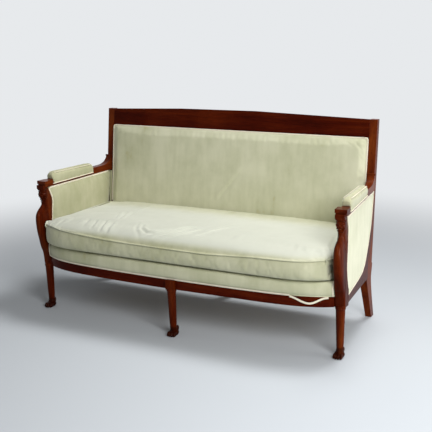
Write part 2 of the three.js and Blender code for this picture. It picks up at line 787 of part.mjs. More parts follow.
function frontCornerBlock() {
  const outline = new THREE.Shape();
  const corner = post_inner_span + post_width / 4;
  outline.moveTo(corner - corner_block_reach * 1.2, frontLine(corner - corner_block_reach));
  outline.lineTo(corner, -post_depth);
  outline.lineTo(corner + post_width, post_depth + corner_block_reach);
  outline.lineTo(corner - corner_block_reach / 8, post_depth + corner_block_reach);
  outline.closePath();
  const rail = planProfile(frontBand(stile_inner_span / 2, -2 * post_depth, rail_thickness + fit),
    0, block_top_height);
  const post = slab(post_inner_span - fit, post_outer_span + post_width, -2 * post_depth, post_depth + fit,
    0, block_top_height);
  const side = inArm(slab(-side_rail_inset - side_rail_thickness - fit, post_width, -post_depth,
    back_face_setback, 0, block_top_height));
  return cornerBlock(outline, rail, post, side);
}

function rearCornerBlock() {
  const outline = new THREE.Shape();
  outline.moveTo(stile_inner_span - corner_block_reach, rear_rail_setback - fit);
  outline.lineTo(stile_outer_span, rear_rail_setback - fit);
  outline.lineTo(stile_outer_span, stile_front - corner_block_reach);
  outline.lineTo(stile_outer_span - post_width / 3, stile_front - corner_block_reach);
  outline.closePath();
  const side = inArm(slab(-side_rail_inset - side_rail_thickness - fit, post_width, 0,
    back_face_setback * 2, 0, block_top_height));
  return cornerBlock(outline, stileBodyEnvelope, side);
}

// Back frame

function crestRail() {
  const half = stile_inner_span - fit;
  const bottom = alongBack(crest_bottom_height);
  const top = alongBack(crest_end_height);
  const shape = new THREE.Shape();
  shape.moveTo(-half, bottom);
  shape.lineTo(half, bottom);
  shape.lineTo(half, top);
  shape.quadraticCurveTo(0, top + 2 * crest_arch, -half, top);
  shape.closePath();
  const board = frontProfile(shape, 0, stile_top_depth, 24);
  const inner = stile_inner_span - rebate_tongue - fit;
  const tongue = slab(-inner, inner, rebate_depth, rebate_depth + rebate_tongue_thickness,
    bottom - rebate_tongue, bottom + overrun);
  return joined(board, tongue, crestTenon.tenon, forSide(crestTenon.tenon, -1));
}

function lowerBackRail() {
  const half = stile_inner_span - fit;
  const rail = slab(-half, half, rebate_depth, rebate_depth + lower_rail_thickness,
    alongBack(lower_rail_bottom), alongBack(lower_rail_bottom + lower_rail_height));
  return joined(rail, lowerTenon.tenon, forSide(lowerTenon.tenon, -1));
}

// Arm rail

function armRail() {
  const end = backFace(armTop(back_face_setback)) + tenon_shoulder;
  const scroll_start = back_face_setback - arm_scroll_length;
  const shape = new THREE.Shape();
  shape.moveTo(-cap_front + overrun, head_top_height + fit);
  shape.lineTo(cap_back - overrun, head_top_height + fit);
  shape.lineTo(cap_back, armTop(cap_back));
  shape.lineTo(end, armTop(end));
  shape.lineTo(end + stile_top_depth / 2, arm_scroll_height + overrun);
  shape.lineTo(end - tenon_shoulder, arm_scroll_height);
  shape.quadraticCurveTo(end - tenon_shoulder * 2.4, armTop(end) + arm_rail_height,
    scroll_start, armTop(scroll_start) + arm_rail_height);
  shape.lineTo(arm_pad_back, armTop(arm_pad_back) + arm_rail_height);
  shape.lineTo(cap_back, armTop(cap_back) + arm_rail_height - 3 * fit);
  shape.lineTo(-cap_front + overrun, head_top_height + cap_thickness);
  shape.closePath();
  const bar = sideProfile(shape, -arm_rail_inset - arm_rail_width, -arm_rail_inset, 12);
  const cap_middle = -post_width / 2;
  const cap_top = armTop(cap_back) + arm_rail_height - 3 * fit;
  const moulding_half = cap_width / 2 - overrun / 2;
  const moulding = slab(cap_middle - moulding_half, cap_middle + moulding_half,
    -cap_front + overrun / 2, cap_back - overrun / 2, head_top_height + fit, cap_top - cap_thickness + fit);
  const cap = slab(cap_middle - cap_width / 2, cap_middle + cap_width / 2, -cap_front, cap_back,
    cap_top - cap_thickness, cap_top);
  const stile_cut = sideProfile(stileOutline(fit), stile_inner_span - post_width,
    stile_outer_span + post_width, 10);
  const behind = slab(stile_inner_span - post_width, stile_outer_span + post_width,
    backFace(arm_top_height) + tenon_shoulder, 2 * back_face_setback, 0, crest_end_height);
  const whole = cut(inArm(joined(bar, moulding, cap)), stile_cut, behind, post_pin.mortise);
  return joined(whole, inArm(armBackTenon.tenon));
}

// Arm upholstery

// The rear edge of the outer panel: it runs up in front of the stile and turns forward low down.
// Rows of shares: height over the front of the panel, and how far back towards the padded back.
const panel_back_shares = [
  [0.682, 0.988],
  [0.44, 0.905],
  [0.27, 0.82],
  [0.137, 0.735],
  [0.0645, 0.61],
  [0.034, 0.4],
];
const panel_height = armTop(back_face_setback) - panel_front_height;
const panel_back_line = new THREE.SplineCurve([
  new THREE.Vector2(armTop(back_face_setback), backFace(arm_top_height)),
  ...panel_back_shares.map(([rise, back]) =>
    new THREE.Vector2(panel_front_height + panel_height * rise, back_face_setback * back)),
  new THREE.Vector2(panel_front_height, post_depth),
]);

function panelBack(height) {
  const points = panel_back_line.getPoints(40);
  const after = points.findIndex((point) => point.x <= height);
  if (after <= 0) return points[0].y;
  const [upper, lower] = [points[after - 1], points[after]];
  return lower.y + (upper.y - lower.y) * (height - lower.x) / (upper.x - lower.x);
}

function panelOutline(clear = 0) {
  const shape = new THREE.Shape();
  const top = (y) => armTop(y) - fit * 3 + clear;
  const front_gap = panel_gap - clear;
  shape.moveTo(postBack(armTop(0)) + front_gap, top(0));
  [0.85, 0.7, 0.55, 0.4, 0.25, 0.15, 0.08, 0.03].forEach((share) => {
    const height = block_top_height + (head_top_height - block_top_height) * share;
    shape.lineTo(postBack(height) + front_gap, height);
  });
  shape.lineTo(post_depth + front_gap, block_top_height);
  shape.lineTo(post_depth + front_gap, panel_front_height - clear);
  panel_back_line.getPoints(14).reverse().slice(1).forEach((point) => {
    const height = Math.min(point.x, top(point.y));
    shape.lineTo(point.y - 4 * fit + clear, height - (point.x < rail_top_height ? clear : 0));
  });
  shape.closePath();
  return shape;
}

function outerArmPanel() {
  const panel = inArm(sideProfile(panelOutline(), -arm_core_outer + fit,
    -arm_core_outer + fit + arm_panel_thickness));
  return cut(panel, postEnvelope(panel_gap));
}

// The padded inside of an arm, from the post to the back and down to the side rail.
function innerArmPad() {
  const back_face = -arm_core_inner - fit;
  const splay_gap = panel_gap + arm_inner_face * side_splay_share;
  const bottom = webbing_top + fit;
  const levels = [0, 0.06, 0.2, 0.4, 0.6, 0.8, 0.94, 1];
  const steps = [0, 0.04, 0.12, 0.3, 0.5, 0.7, 0.88, 0.96, 1];
  const stile_lean = (backFace(back_reference_height) - stile_front) / (back_reference_height - stile_knee_height);
  const rear = (height) => (height > back_reference_height
    ? backFace(height)
    : Math.max(stile_front, backFace(back_reference_height) - (back_reference_height - height) * stile_lean));
  const rings = steps.map((along) => {
    const edge = Math.min(1, 8 * Math.min(along, 1 - along) + 0.15);
    const at = (height, x) => {
      const front = postBack(height) + splay_gap;
      const back = rear(height) - splay_gap;
      return new THREE.Vector3(x, front + (back - front) * along, height);
    };
    const top = (y) => armTop(y) - fit * 3;
    const rise = (share) => bottom + (top(back_face_setback * along) - bottom) * share;
    const outer = levels.map((share) => at(rise(share), back_face));
    const inner = [...levels].reverse().map((share) => {
      const bulge = Math.min(1, 6 * Math.min(share, 1 - share) + 0.1) * edge;
      return at(rise(share), -arm_inner_face + overrun / 2 - (arm_inner_crown + overrun / 2) * bulge);
    });
    return [...outer, ...inner];
  });
  const stile_cut = sideProfile(stileOutline(panel_gap), stile_inner_span - overrun,
    stile_outer_span + post_width, 10);
  return cut(inArm(loft(rings)), postEnvelope(2 * fit), stile_cut);
}

// The pad on top of an arm, wrapped over the rail and down its sides.
function armPad() {
  const half = arm_pad_width / 2;
  const steps = [0, 0.02, 0.06, 0.3, 0.7, 0.94, 0.98, 1];
  const rings = steps.map((along) => {
    const y = arm_pad_front + (arm_pad_back - arm_pad_front) * along;
    const end = Math.min(1, Math.sqrt(Math.min(along, 1 - along) / 0.06));
    const low = armTop(y) + arm_rail_height - arm_pad_lap;
    const rise = arm_pad_lap + (arm_pad_rise - arm_pad_lap) * (0.55 + 0.45 * end)
      - along * arm_pad_rise * 0.16;
    const width = half * (0.94 + 0.06 * end);
    const outline = [
      [-1, 0], [-1, 0.25], [-1.02, 0.5], [-0.98, 0.75], [-0.84, 0.93], [-0.5, 1], [0, 1.02],
      [0.5, 1], [0.84, 0.93], [0.98, 0.75], [1.02, 0.5], [1, 0.25], [1, 0],
    ];
    const overhang = (1 - along) ** 8 * arm_pad_overhang;
    return outline.map(([across, up]) => new THREE.Vector3(arm_rail_middle + width * across,
      y - overhang * up, low + rise * up));
  });
  const rail = new THREE.Shape();
  rail.moveTo(0, armTop(0) - arm_rail_height);
  rail.lineTo(back_face_setback, armTop(back_face_setback) - arm_rail_height);
  rail.lineTo(back_face_setback, armTop(arm_pad_back) + arm_rail_height + fit
    + (back_face_setback - arm_pad_back) * arm_rise_share);
  rail.lineTo(arm_pad_back, armTop(arm_pad_back) + arm_rail_height + fit);
  rail.lineTo(cap_back, armTop(cap_back) + arm_rail_height - 2 * fit);
  rail.lineTo(0, armTop(0) + arm_rail_height - 2 * fit);
  rail.closePath();
  const channel = sideProfile(rail, -arm_rail_inset - arm_rail_width - fit, -arm_rail_inset + fit);
  return inArm(cut(loft(rings), channel));
}

// Seat deck and cushion

// Half the width left between the posts or, further back, between the padded arms and the stiles.
function seatHalfWidth(y, gap) {
  const between_arms = post_outer_span - arm_inner_face - arm_inner_crown - side_splay_share * Math.max(0, y);
  const between_stiles = y < stile_front - overrun ? post_inner_span : stile_inner_span;
  return Math.min(post_inner_span, between_arms, between_stiles) - gap;
}

// The fixed deck: level on top, with a padded roll that laps down over the rebate of the front rail.
function seatDeck() {
  const gap = fit;
  const rings = across_both.map((share) => {
    const front = frontLine(share * front_half_length);
    const height = deck_top_height - rail_show_top;
    const line = [
      [front + fit, rail_show_top + fit],
      [front + rail_rebate - fit, rail_show_top + fit],
      [front + rail_rebate - fit, deck_underside],
      [back_face_setback / 2, deck_underside],
      [deck_back_setback, deck_underside],
      [deck_back_setback, deck_top_height],
      [back_face_setback / 2, deck_top_height],
      [front + height * 0.6, deck_top_height],
      [front + height * 0.15, deck_top_height - height * 0.02],
      [front - deck_front_bulge * 0.6, deck_top_height - height * 0.12],
      [front - deck_front_bulge, deck_top_height - height * 0.35],
      [front - deck_front_bulge * 0.9, deck_top_height - height * 0.6],
      [front - deck_front_bulge * 0.3, deck_top_height - height * 0.88],
    ];
    return line.map(([y, z]) => new THREE.Vector3(share * seatHalfWidth(y, gap), y, z));
  });
  const posts = [-1, 1].map((side) => forSide(slab(
    post_inner_span - gap, post_outer_span + post_width, -post_depth, post_depth + gap,
    rail_bottom_height, deck_top_height + overrun), side));
  const stiles = [-1, 1].map((side) => forSide(
    sideProfile(stileOutline(panel_gap), stile_inner_span - panel_gap, stile_outer_span + post_width, 10), side));
  return cut(loft(rings), ...posts, ...stiles);
}

function roundedRise(share) {
  return Math.sqrt(1 - (1 - Math.min(1, Math.max(0, share))) ** 2);
}

// The loose cushion: flat below, boxed at its sides, crowned on top, with full rounded front corners.
function seatCushion() {
  const bottom = deck_top_height + fit;
  const rings = across_both.map((share) => {
    const reach = Math.abs(share);
    const front = -cushion_corner_front
      - (cushion_front - cushion_corner_front) * (1 - reach ** cushion_corner_power);
    const piping = cushion_piping_height + cushion_corner_lift * reach ** 2;
    const middle_top = cushion_side_top + cushion_crown * (1 - reach ** 4);
    const side = roundedRise((1 - reach) * cushion_half_length / (cushion_edge_round * 0.6));
    const depth = cushion_back_setback - front;
    const top = (run) => piping + (middle_top - piping) * Math.max(0.12, side)
      * roundedRise(run * depth / cushion_edge_round);
    const drawn = cushion_edge_round / 20;
    const boxing = piping - bottom;
    const line = [
      [front + drawn, bottom],
      [front + depth / 2, bottom],
      [cushion_back_setback - drawn, bottom],
      [cushion_back_setback, bottom + boxing * 0.4],
      [cushion_back_setback - drawn, top(1) - drawn],
      [cushion_back_setback - 5 * drawn, top(1)],
      ...[0.75, 0.5, 0.28, 0.14, 0.08, 0.04, 0.015].map((run) => [front + depth * run, top(run)]),
      [front, piping],
      [front - drawn / 4, piping - boxing * 0.2],
      [front - drawn / 2, piping - boxing * 0.5],
      [front, bottom + boxing * 0.15],
    ];
    return line.map(([y, z]) => {
      const half = Math.min(cushion_half_length, seatHalfWidth(y, cushion_side_gap));
      const pull = drawn * Math.sin(Math.PI * Math.min(1, Math.max(0, (y - front) / depth)));
      return new THREE.Vector3(share * (half - pull), y, z);
    });
  });
  return loft(rings);
}

// Back upholstery, drawn inside the back

function backPad() {
  const half = stile_inner_span - fit;
  const low = alongBack(lower_rail_bottom) + overrun;
  const high = alongBack(crest_bottom_height) - fit;
  const rear = rebate_depth - web_thickness - 2 * fit;
  const levels = [0, 0.02, 0.07, 0.2, 0.4, 0.6, 0.8, 0.93, 0.98, 1];
  const rings = across_both.map((share) => {
    const side = roundedRise((1 - Math.abs(share)) * 5);
    const front = levels.map((level) => {
      const ends = roundedRise(6 * Math.min(level, 1 - level));
      return new THREE.Vector3(half * share, -back_pad_edge * Math.max(side * 2, 0.1) / 2
        - back_pad_crown * side * ends, low + (high - low) * level);
    });
    const behind = [1, 0.5, 0].map((level) => new THREE.Vector3(half * share, rear,
      low + (high - low) * level));
    return [...front, ...behind];
  });
  return loft(rings);
}

function backPanel() {
  const half = stile_inner_span - fit;
  const front = rebate_depth + rebate_tongue_thickness + fit;
  return slab(-half, half, front, front + back_panel_thickness, alongBack(rail_show_top) + fit,
    alongBack(crest_bottom_height) - fit);
}

// Webbing

// A strap in side view, waving over and under the straps that it crosses.
function strapOutline(start, end, crossings, firstOver) {
  const half = web_thickness / 2;
  const line = [[start, -web_wave], [start + web_landing, -web_wave]];
  crossings.forEach((place, order) => {
    const over = (order % 2 === 0) === firstOver ? web_wave : -web_wave;
    line.push([place - web_width * 0.55, over], [place + web_width * 0.55, over]);
  });
  line.push([end - web_landing, -web_wave], [end, -web_wave]);
  const shape = new THREE.Shape();
  line.forEach(([along, up], step) => {
    if (step === 0) shape.moveTo(along, up - half);
    else shape.lineTo(along, up - half);
  });
  [...line].reverse().forEach(([along, up]) => shape.lineTo(along, up + half));
  shape.closePath();
  return shape;
}

function addSeatWebbing(parent) {
  const middle = rail_top_height + fit + web_thickness / 2 + web_wave;
  const long_places = Array.from({ length: long_web_count }, (_, order) =>
    long_web_first + long_web_spacing * order);
  const spread = 2 * (stile_inner_span - 2 * web_width);
  const cross_places = Array.from({ length: cross_web_count }, (_, order) =>
    spread * (order / (cross_web_count - 1) - 1 / 2));
  cross_places.forEach((x, order) => {
    const start = frontLine(Math.abs(x) + web_width / 2) + rail_rebate + fit * 4;
    const end = rear_rail_setback + rebate_depth;
    const strap = sideProfile(strapOutline(start, end, long_places, order % 2 === 0), -web_width / 2,
      web_width / 2);
    const mesh = piece(parent, `seat_web_cross_${order + 1}`, strap, webbing_cloth);
    mesh.position.set(x, 0, middle);
  });
  long_places.forEach((y, order) => {
    const half = post_outer_span - side_rail_inset - side_rail_thickness / 2 - side_splay_share * y
      - web_width * side_splay_share;
    const strap = frontProfile(strapOutline(-half, half, cross_places, order % 2 === 0 ? false : true),
      -web_width / 2, web_width / 2);
    const mesh = piece(parent, `seat_web_long_${order + 1}`, strap, webbing_cloth);
    mesh.position.set(0, y, middle);
  });
}

function addBackWebbing(parent) {
  const low = alongBack(lower_rail_bottom) + web_landing;
  const high = alongBack(crest_bottom_height) - overrun;
  const spread = 2 * (stile_inner_span - 3 * web_width);
  for (let order = 0; order < back_web_count; order += 1) {
    const strap = slab(-web_width / 2, web_width / 2, -web_thickness, 0, low, high);
    const mesh = piece(parent, `back_web_${order + 1}`, strap, webbing_cloth);
    mesh.position.set(spread * (order / (back_web_count - 1) - 1 / 2), rebate_depth - fit, 0);
  }
}

function hessian() {
  const stations = across_both.map((share) => share * front_half_length)
    .filter((x) => Math.abs(x) < stile_inner_span);
  const shape = new THREE.Shape();
  const margin = rail_rebate + fit * 4;
  stations.forEach((x, step) => {
    if (step === 0) shape.moveTo(x, frontLine(x) + margin);
    else shape.lineTo(x, frontLine(x) + margin);
  });
  shape.lineTo(stile_inner_span - web_thickness, deck_back_setback);
  shape.lineTo(-stile_inner_span + web_thickness, deck_back_setback);
  shape.closePath();
  return planProfile(shape, hessian_low, hessian_low + hessian_thickness);
}

// The loose gimp: glued at both ends, fallen away from the lower edge of the roll between them.
// Rows of places: in from the post, out from the front line and down from the show edge of the rail.
const gimp_route = [
  [181, 1.5, 4], [171, 2, 5.4], [161, 2.6, 8.4], [151, 3.2, 12.4], [141, 3.9, 16.6], [131, 4.4, 20.8],
  [121, 4.8, 24.6], [111, 5, 27.6], [102, 5.2, 29.2], [93, 5.2, 29.2], [84, 5, 27.4], [75, 4.8, 24],
  [66, 4.4, 19.4], [57, 3.9, 14.4], [48, 3.4, 9.8], [39, 2.9, 6.2], [30, 2.3, 4.4], [21, 1.8, 4],
];

function looseGimp() {
  const path = new THREE.CatmullRomCurve3(gimp_route.map(([inward, out, down]) => {
    const x = post_inner_span - inward;
    return new THREE.Vector3(x, frontLine(x) - out, rail_show_top - down);
  }));
  const shape = new THREE.Shape();
  shape.absellipse(0, 0, gimp_thickness / 2, gimp_width / 2, 0, 2 * Math.PI);
  return new THREE.ExtrudeGeometry(shape, { extrudePath: path, steps: gimp_steps, curveSegments: 8 });
}

// Assembly

const settee = new THREE.Group();
const seat_frame = new THREE.Group();
const back = new THREE.Group();
const upholstery = new THREE.Group();
settee.add(seat_frame, back, upholstery);
back.applyMatrix4(backPlace);

for (const [side, hand] of [[-1, 'left'], [1, 'right']]) {
  piece(seat_frame, `front_post_${hand}`, forSide(frontPost(), side), carved_mahogany);
  piece(seat_frame, `rear_stile_${hand}`, forSide(rearStile(), side), mahogany);
  piece(seat_frame, `front_rail_${hand}`, forSide(frontRail(), side), mahogany);
  piece(seat_frame, `side_rail_${hand}`, forSide(sideRail(), side), mahogany);
  piece(seat_frame, `arm_rail_${hand}`, forSide(armRail(), side), mahogany);
  piece(seat_frame, `front_corner_block_${hand}`, forSide(frontCornerBlock(), side), beech);
  piece(seat_frame, `rear_corner_block_${hand}`, forSide(rearCornerBlock(), side), beech);
  piece(upholstery, `arm_inner_pad_${hand}`, forSide(innerArmPad(), side), cover_cloth);
  piece(upholstery, `arm_outer_panel_${hand}`, forSide(outerArmPanel(), side), cover_cloth);
  piece(upholstery, `arm_pad_${hand}`, forSide(armPad(), side), cover_cloth);
}
piece(seat_frame, 'middle_leg_front', middleFrontLeg(), carved_mahogany);
piece(seat_frame, 'middle_leg_rear', middleRearLeg(), mahogany);
piece(seat_frame, 'rear_seat_rail', rearSeatRail(), beech);
piece(seat_frame, 'cross_rail', crossRail(), beech);

piece(back, 'crest_rail', crestRail(), mahogany);
piece(back, 'lower_back_rail', lowerBackRail(), beech);
piece(back, 'back_pad', backPad(), cover_cloth);
piece(back, 'back_outer_panel', backPanel(), cover_cloth);
addBackWebbing(back);

addSeatWebbing(upholstery);
piece(upholstery, 'seat_hessian', hessian(), hessian_cloth);
piece(upholstery, 'seat_deck', seatDeck(), cover_cloth);
piece(upholstery, 'seat_cushion', seatCushion(), cover_cloth);

// The origin lies on the floor under the middle of the whole, without the loose gimp.
settee.updateMatrixWorld(true);
const reach = new THREE.Box3().setFromObject(settee, true);
settee.position.y = -(reach.min.y + reach.max.y) / 2;

piece(upholstery, 'loose_gimp', looseGimp(), gimp_braid);

export default settee;
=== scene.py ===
import math

import bmesh
import bpy
from mathutils import Matrix, Vector, noise


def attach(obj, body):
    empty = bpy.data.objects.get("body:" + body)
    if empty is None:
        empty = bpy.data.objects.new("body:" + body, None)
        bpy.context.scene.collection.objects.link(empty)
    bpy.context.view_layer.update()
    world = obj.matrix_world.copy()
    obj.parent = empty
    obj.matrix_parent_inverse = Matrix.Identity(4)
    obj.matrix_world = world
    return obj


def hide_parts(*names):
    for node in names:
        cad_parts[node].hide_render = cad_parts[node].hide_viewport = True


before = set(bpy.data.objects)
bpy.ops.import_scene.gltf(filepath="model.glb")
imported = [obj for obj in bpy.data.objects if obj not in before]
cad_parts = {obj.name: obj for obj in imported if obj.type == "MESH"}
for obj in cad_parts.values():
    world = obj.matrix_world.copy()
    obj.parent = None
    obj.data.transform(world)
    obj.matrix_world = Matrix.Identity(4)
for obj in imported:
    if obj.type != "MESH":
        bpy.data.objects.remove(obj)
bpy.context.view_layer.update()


# The view
# The settee was photographed from in front and to its left, from about the eye level of a
# standing person, with a long lens.

camera_data = bpy.data.cameras.new("camera")
camera_data.lens = 69.69
camera_data.sensor_width = 36
camera = bpy.data.objects.new("camera", camera_data)
camera.matrix_world = (
    Matrix.Translation((1.894, -3.4829, 1.4367))
    @ Matrix.Rotation(math.radians(27.687), 4, "Z")
    @ Matrix.Rotation(math.radians(90 - 13.244), 4, "X")
    @ Matrix.Rotation(math.radians(-0.811), 4, "Z")
)
bpy.context.collection.objects.link(camera)
bpy.context.scene.camera = camera


# The loose gimp
# A length of cream cotton braid, 9 mm wide and flat, that edged the roll above the front rail.
# Near the right post its glue has let go: it is still held at both ends and sags between them.

front_of_posts = -0.2380


def placed(x, y, z):
    """A point given from the front faces of the posts, in the frame of the whole settee."""
    return Vector((x, y + front_of_posts, z))


def show(name, mesh, material, node=None, body="frame"):
    """Put a finished mesh in the scene, riding on its body, in the place of a solid if it has one."""
    piece = bpy.data.objects.new(name, mesh)
    bpy.context.collection.objects.link(piece)
    mesh.materials.clear()
    mesh.materials.append(material)
    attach(piece, body)
    if node:
        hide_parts(node)
    return piece


def finished_mesh(bm, name, sharp):
    """Close a bmesh off into a mesh that is smooth but for edges sharper than the angle."""
    bmesh.ops.recalc_face_normals(bm, faces=bm.faces)
    mesh = bpy.data.meshes.new(name)
    bm.to_mesh(mesh)
    bm.free()
    mesh.shade_smooth()
    mesh.set_sharp_from_angle(angle=math.radians(sharp))
    return mesh


def along_route(route, facing):
    """The frames of a route: across, outward and along at each of its points."""
    frames = []
    for step, point in enumerate(route):
        before = route[max(step - 1, 0)]
        after = route[min(step + 1, len(route) - 1)]
        along = (after - before).normalized()
        outward = facing[step] if isinstance(facing, list) else facing
        across = along.cross(outward).normalized()
        outward = across.cross(along).normalized()
        turn = Matrix((across, outward, along)).transposed().to_4x4()
        frames.append(Matrix.Translation(point) @ turn)
    return frames


def put_in_order(bm):
    """Number edges and faces by their vertices. Extruding can number them differently from run to run."""
    bm.verts.index_update()
    count = len(bm.verts)

    def rank(part):
        numbers = [vert.index for vert in part.verts]
        return min(numbers) * count + max(numbers)

    bm.edges.sort(key=rank)
    bm.faces.sort(key=rank)


def swept_strip(name, route, facing, width, thickness):
    """Sweep an oval section along a route. Its UV map runs in metres, along and across."""
    frames = along_route(route, facing)
    bm = bmesh.new()
    ring = bmesh.ops.create_circle(bm, segments=8, radius=0.5)["verts"]
    bmesh.ops.scale(bm, vec=(width, thickness, 1), verts=ring)
    bmesh.ops.transform(bm, matrix=frames[0], verts=ring)
    run = {vert: 0.0 for vert in ring}
    loop = list(bm.edges)
    gone = 0.0
    for before, after in zip(frames, frames[1:]):
        gone += (after.translation - before.translation).length
        grown = bmesh.ops.extrude_edge_only(bm, edges=loop)["geom"]
        ring = [part for part in grown if isinstance(part, bmesh.types.BMVert)]
        bmesh.ops.transform(bm, matrix=after @ before.inverted(), verts=ring)
        run.update({vert: gone for vert in ring})
        fresh = set(ring)
        loop = [part for part in grown if isinstance(part, bmesh.types.BMEdge)
                and all(vert in fresh for vert in part.verts)]
    bmesh.ops.holes_fill(bm, edges=[edge for edge in bm.edges if edge.is_boundary], sides=0)
    put_in_order(bm)
    lengths = bm.loops.layers.uv.new("along")
    for face in bm.faces:
        for corner in face.loops:
            local = corner.vert.co - face.calc_center_median()
            corner[lengths].uv = (run[corner.vert], local.z)
    return finished_mesh(bm, name, 80)


def node_tools(owner):
    """Short ways to add a node and to fill its inputs, with values or with what feeds them."""
    owner.use_nodes = True
    nodes, links = owner.node_tree.nodes, owner.node_tree.links

    def fill(node, inputs):
        for key, value in inputs.items():
            if isinstance(value, bpy.types.NodeSocket):
                links.new(value, node.inputs[key])
            else:
                node.inputs[key].default_value = value

    def add(kind, inputs, **settings):
        node = nodes.new(kind)
        for key, value in settings.items():
            setattr(node, key, value)
        fill(node, inputs)
        return node

    return nodes, add, fill


def blank_finish(name, constants):
    """A new material with the constants of its shader, ready to be built up."""
    material = bpy.data.materials.new(name)
    nodes, add, fill = node_tools(material)
    fill(nodes["Principled BSDF"], constants)
    return material, nodes["Principled BSDF"], add, fill


def cotton_gimp():
    """Cream cotton braid: a chevron of fine threads, a little soiled."""
    material, shader, add, fill = blank_finish("cotton_gimp", {"Roughness": 0.85, "Sheen Weight": 0.2})
    place = add("ShaderNodeTexCoord", {}).outputs["Object"]
    threads = add("ShaderNodeTexWave", {"Vector": place, "Scale": 320, "Distortion": 2.0, "Detail": 1},
                  bands_direction="DIAGONAL").outputs["Fac"]
    soil = add("ShaderNodeTexNoise", {"Vector": place, "Scale": 18}).outputs["Fac"]
    tint = add("ShaderNodeMix", {0: soil, 6: (0.86, 0.80, 0.66, 1), 7: (0.74, 0.66, 0.48, 1)},
               data_type="RGBA")
    relief = add("ShaderNodeBump", {"Height": threads, "Strength": 0.6, "Distance": 0.0008})
    fill(shader, {"Base Color": tint.outputs[2], "Normal": relief.outputs["Normal"]})
    return material


gimp_finish = cotton_gimp()
loose_route = [placed(*point) for point in [
    (0.578, -0.0671, 0.2710), (0.588, -0.0661, 0.2696), (0.598, -0.0651, 0.2666),
    (0.608, -0.0640, 0.2626), (0.618, -0.0627, 0.2584), (0.628, -0.0612, 0.2542),
    (0.638, -0.0593, 0.2504), (0.648, -0.0570, 0.2474), (0.657, -0.0548, 0.2458),
    (0.666, -0.0522, 0.2458), (0.675, -0.0492, 0.2476), (0.684, -0.0459, 0.2510),
    (0.693, -0.0422, 0.2556), (0.702, -0.0382, 0.2606), (0.711, -0.0338, 0.2652),
    (0.720, -0.0292, 0.2688), (0.729, -0.0241, 0.2706), (0.738, -0.0187, 0.2710),
]]
loose_mesh = swept_strip("loose_gimp_braid", loose_route, Vector((0.2, -1, 0)), 0.009, 0.0022)
loose_gimp = show("loose_gimp_braid", loose_mesh, gimp_finish, "loose_gimp")


# The studio
# A plain pale floor that fades into a pale grey surround. One soft lamp hangs above and behind
# the settee, a second stands in front on the right, and a weak third is low at its right end.

floor_mesh = bpy.data.meshes.new("studio_floor")
floor_bm = bmesh.new()
bmesh.ops.create_grid(floor_bm, x_segments=1, y_segments=1, size=14)
floor_bm.to_mesh(floor_mesh)
floor_bm.free()
floor = bpy.data.objects.new("studio_floor", floor_mesh)
bpy.context.collection.objects.link(floor)


def seen_directly(add):
    """1 on rays from the camera, from a reflection or through something clear, and 0 on the rest."""
    ray = add("ShaderNodeLightPath", {}).outputs
    looked = add("ShaderNodeMath", {0: ray["Is Camera Ray"], 1: ray["Is Glossy Ray"]}, operation="MAXIMUM")
    return add("ShaderNodeMath", {0: looked.outputs[0], 1: ray["Is Transmission Ray"]},
               operation="MAXIMUM").outputs[0]


pale_grey = (0.80, 0.82, 0.84, 1)
floor_paint, floor_shader, add, fill = blank_finish("studio_floor_paint", {
    "Base Color": (0.52, 0.55, 0.58, 1), "Roughness": 0.9, "Specular IOR Level": 0.1})
floor_place = add("ShaderNodeTexCoord", {}).outputs["Object"]
floor_distance = add("ShaderNodeVectorMath", {0: floor_place}, operation="LENGTH").outputs["Value"]
floor_fade = add("ShaderNodeMapRange", {"Value": floor_distance, "From Min": 1.3, "From Max": 3.4},
                 interpolation_type="SMOOTHSTEP").outputs["Result"]
floor_seen = add("ShaderNodeMath", {0: floor_fade, 1: seen_directly(add)}, operation="MULTIPLY").outputs[0]
floor_glow = add("ShaderNodeEmission", {"Color": pale_grey, "Strength": 1.0}).outputs["Emission"]
floor_mix = add("ShaderNodeMixShader", {0: floor_seen, 1: floor_shader.outputs["BSDF"], 2: floor_glow})
fill(floor_paint.node_tree.nodes["Material Output"], {"Surface": floor_mix.outputs["Shader"]})
floor_mesh.materials.append(floor_paint)

surround = bpy.data.worlds.new("surround")
bpy.context.scene.world = surround
nodes, add, fill = node_tools(surround)
fill(nodes["Background"], {"Color": pale_grey})
soft_light = add("ShaderNodeBackground", {"Color": (1, 1, 1, 1), "Strength": 0.20}).outputs[0]
sky_seen = nodes["Background"].outputs[0]
sky_mix = add("ShaderNodeMixShader", {0: seen_directly(add), 1: soft_light, 2: sky_seen})
fill(nodes["World Output"], {"Surface": sky_mix.outputs[0]})
bpy.context.scene.view_settings.view_transform = "Standard"


def soft_lamp(name, place, target, size, power):
    """A square lamp at a place, turned to its target."""
    data = bpy.data.lights.new(name, "AREA")
    data.shape = "SQUARE"
    data.size = size
    data.energy = power
    lamp = bpy.data.objects.new(name, data)
    lamp.location = place
    lamp.rotation_euler = (Vector(target) - Vector(place)).to_track_quat("-Z", "Y").to_euler()
    bpy.context.collection.objects.link(lamp)


soft_lamp("lamp_above", (0.8, 0.75, 3.3), (0, -0.1, 0.45), 1.1, 84)
soft_lamp("lamp_end", (2.6, 0.2, 0.42), (0.8, 0, 0.42), 0.7, 17)
soft_lamp("lamp_front", (2.3, -2.1, 2.0), (0, 0, 0.5), 1.4, 82)


# Seat rails, stiles, crest and arm rails
# Solid mahogany, mortised and pegged, with its arrises just taken off, stained dark red and
# French polished. The grain runs along each piece.


def colour_ramp(add, factor, stops):
    """The colour that belongs to a factor, blended between stops of a place and a colour."""
    ramp = add("ShaderNodeValToRGB", {"Fac": factor})
    elements = ramp.color_ramp.elements
    for element, (place, colour) in zip(elements, (stops[0], stops[-1])):
        element.position = place
        element.color = (*colour, 1)
    for place, colour in stops[1:-1]:
        elements.new(place).color = (*colour, 1)
    return ramp.outputs["Color"]


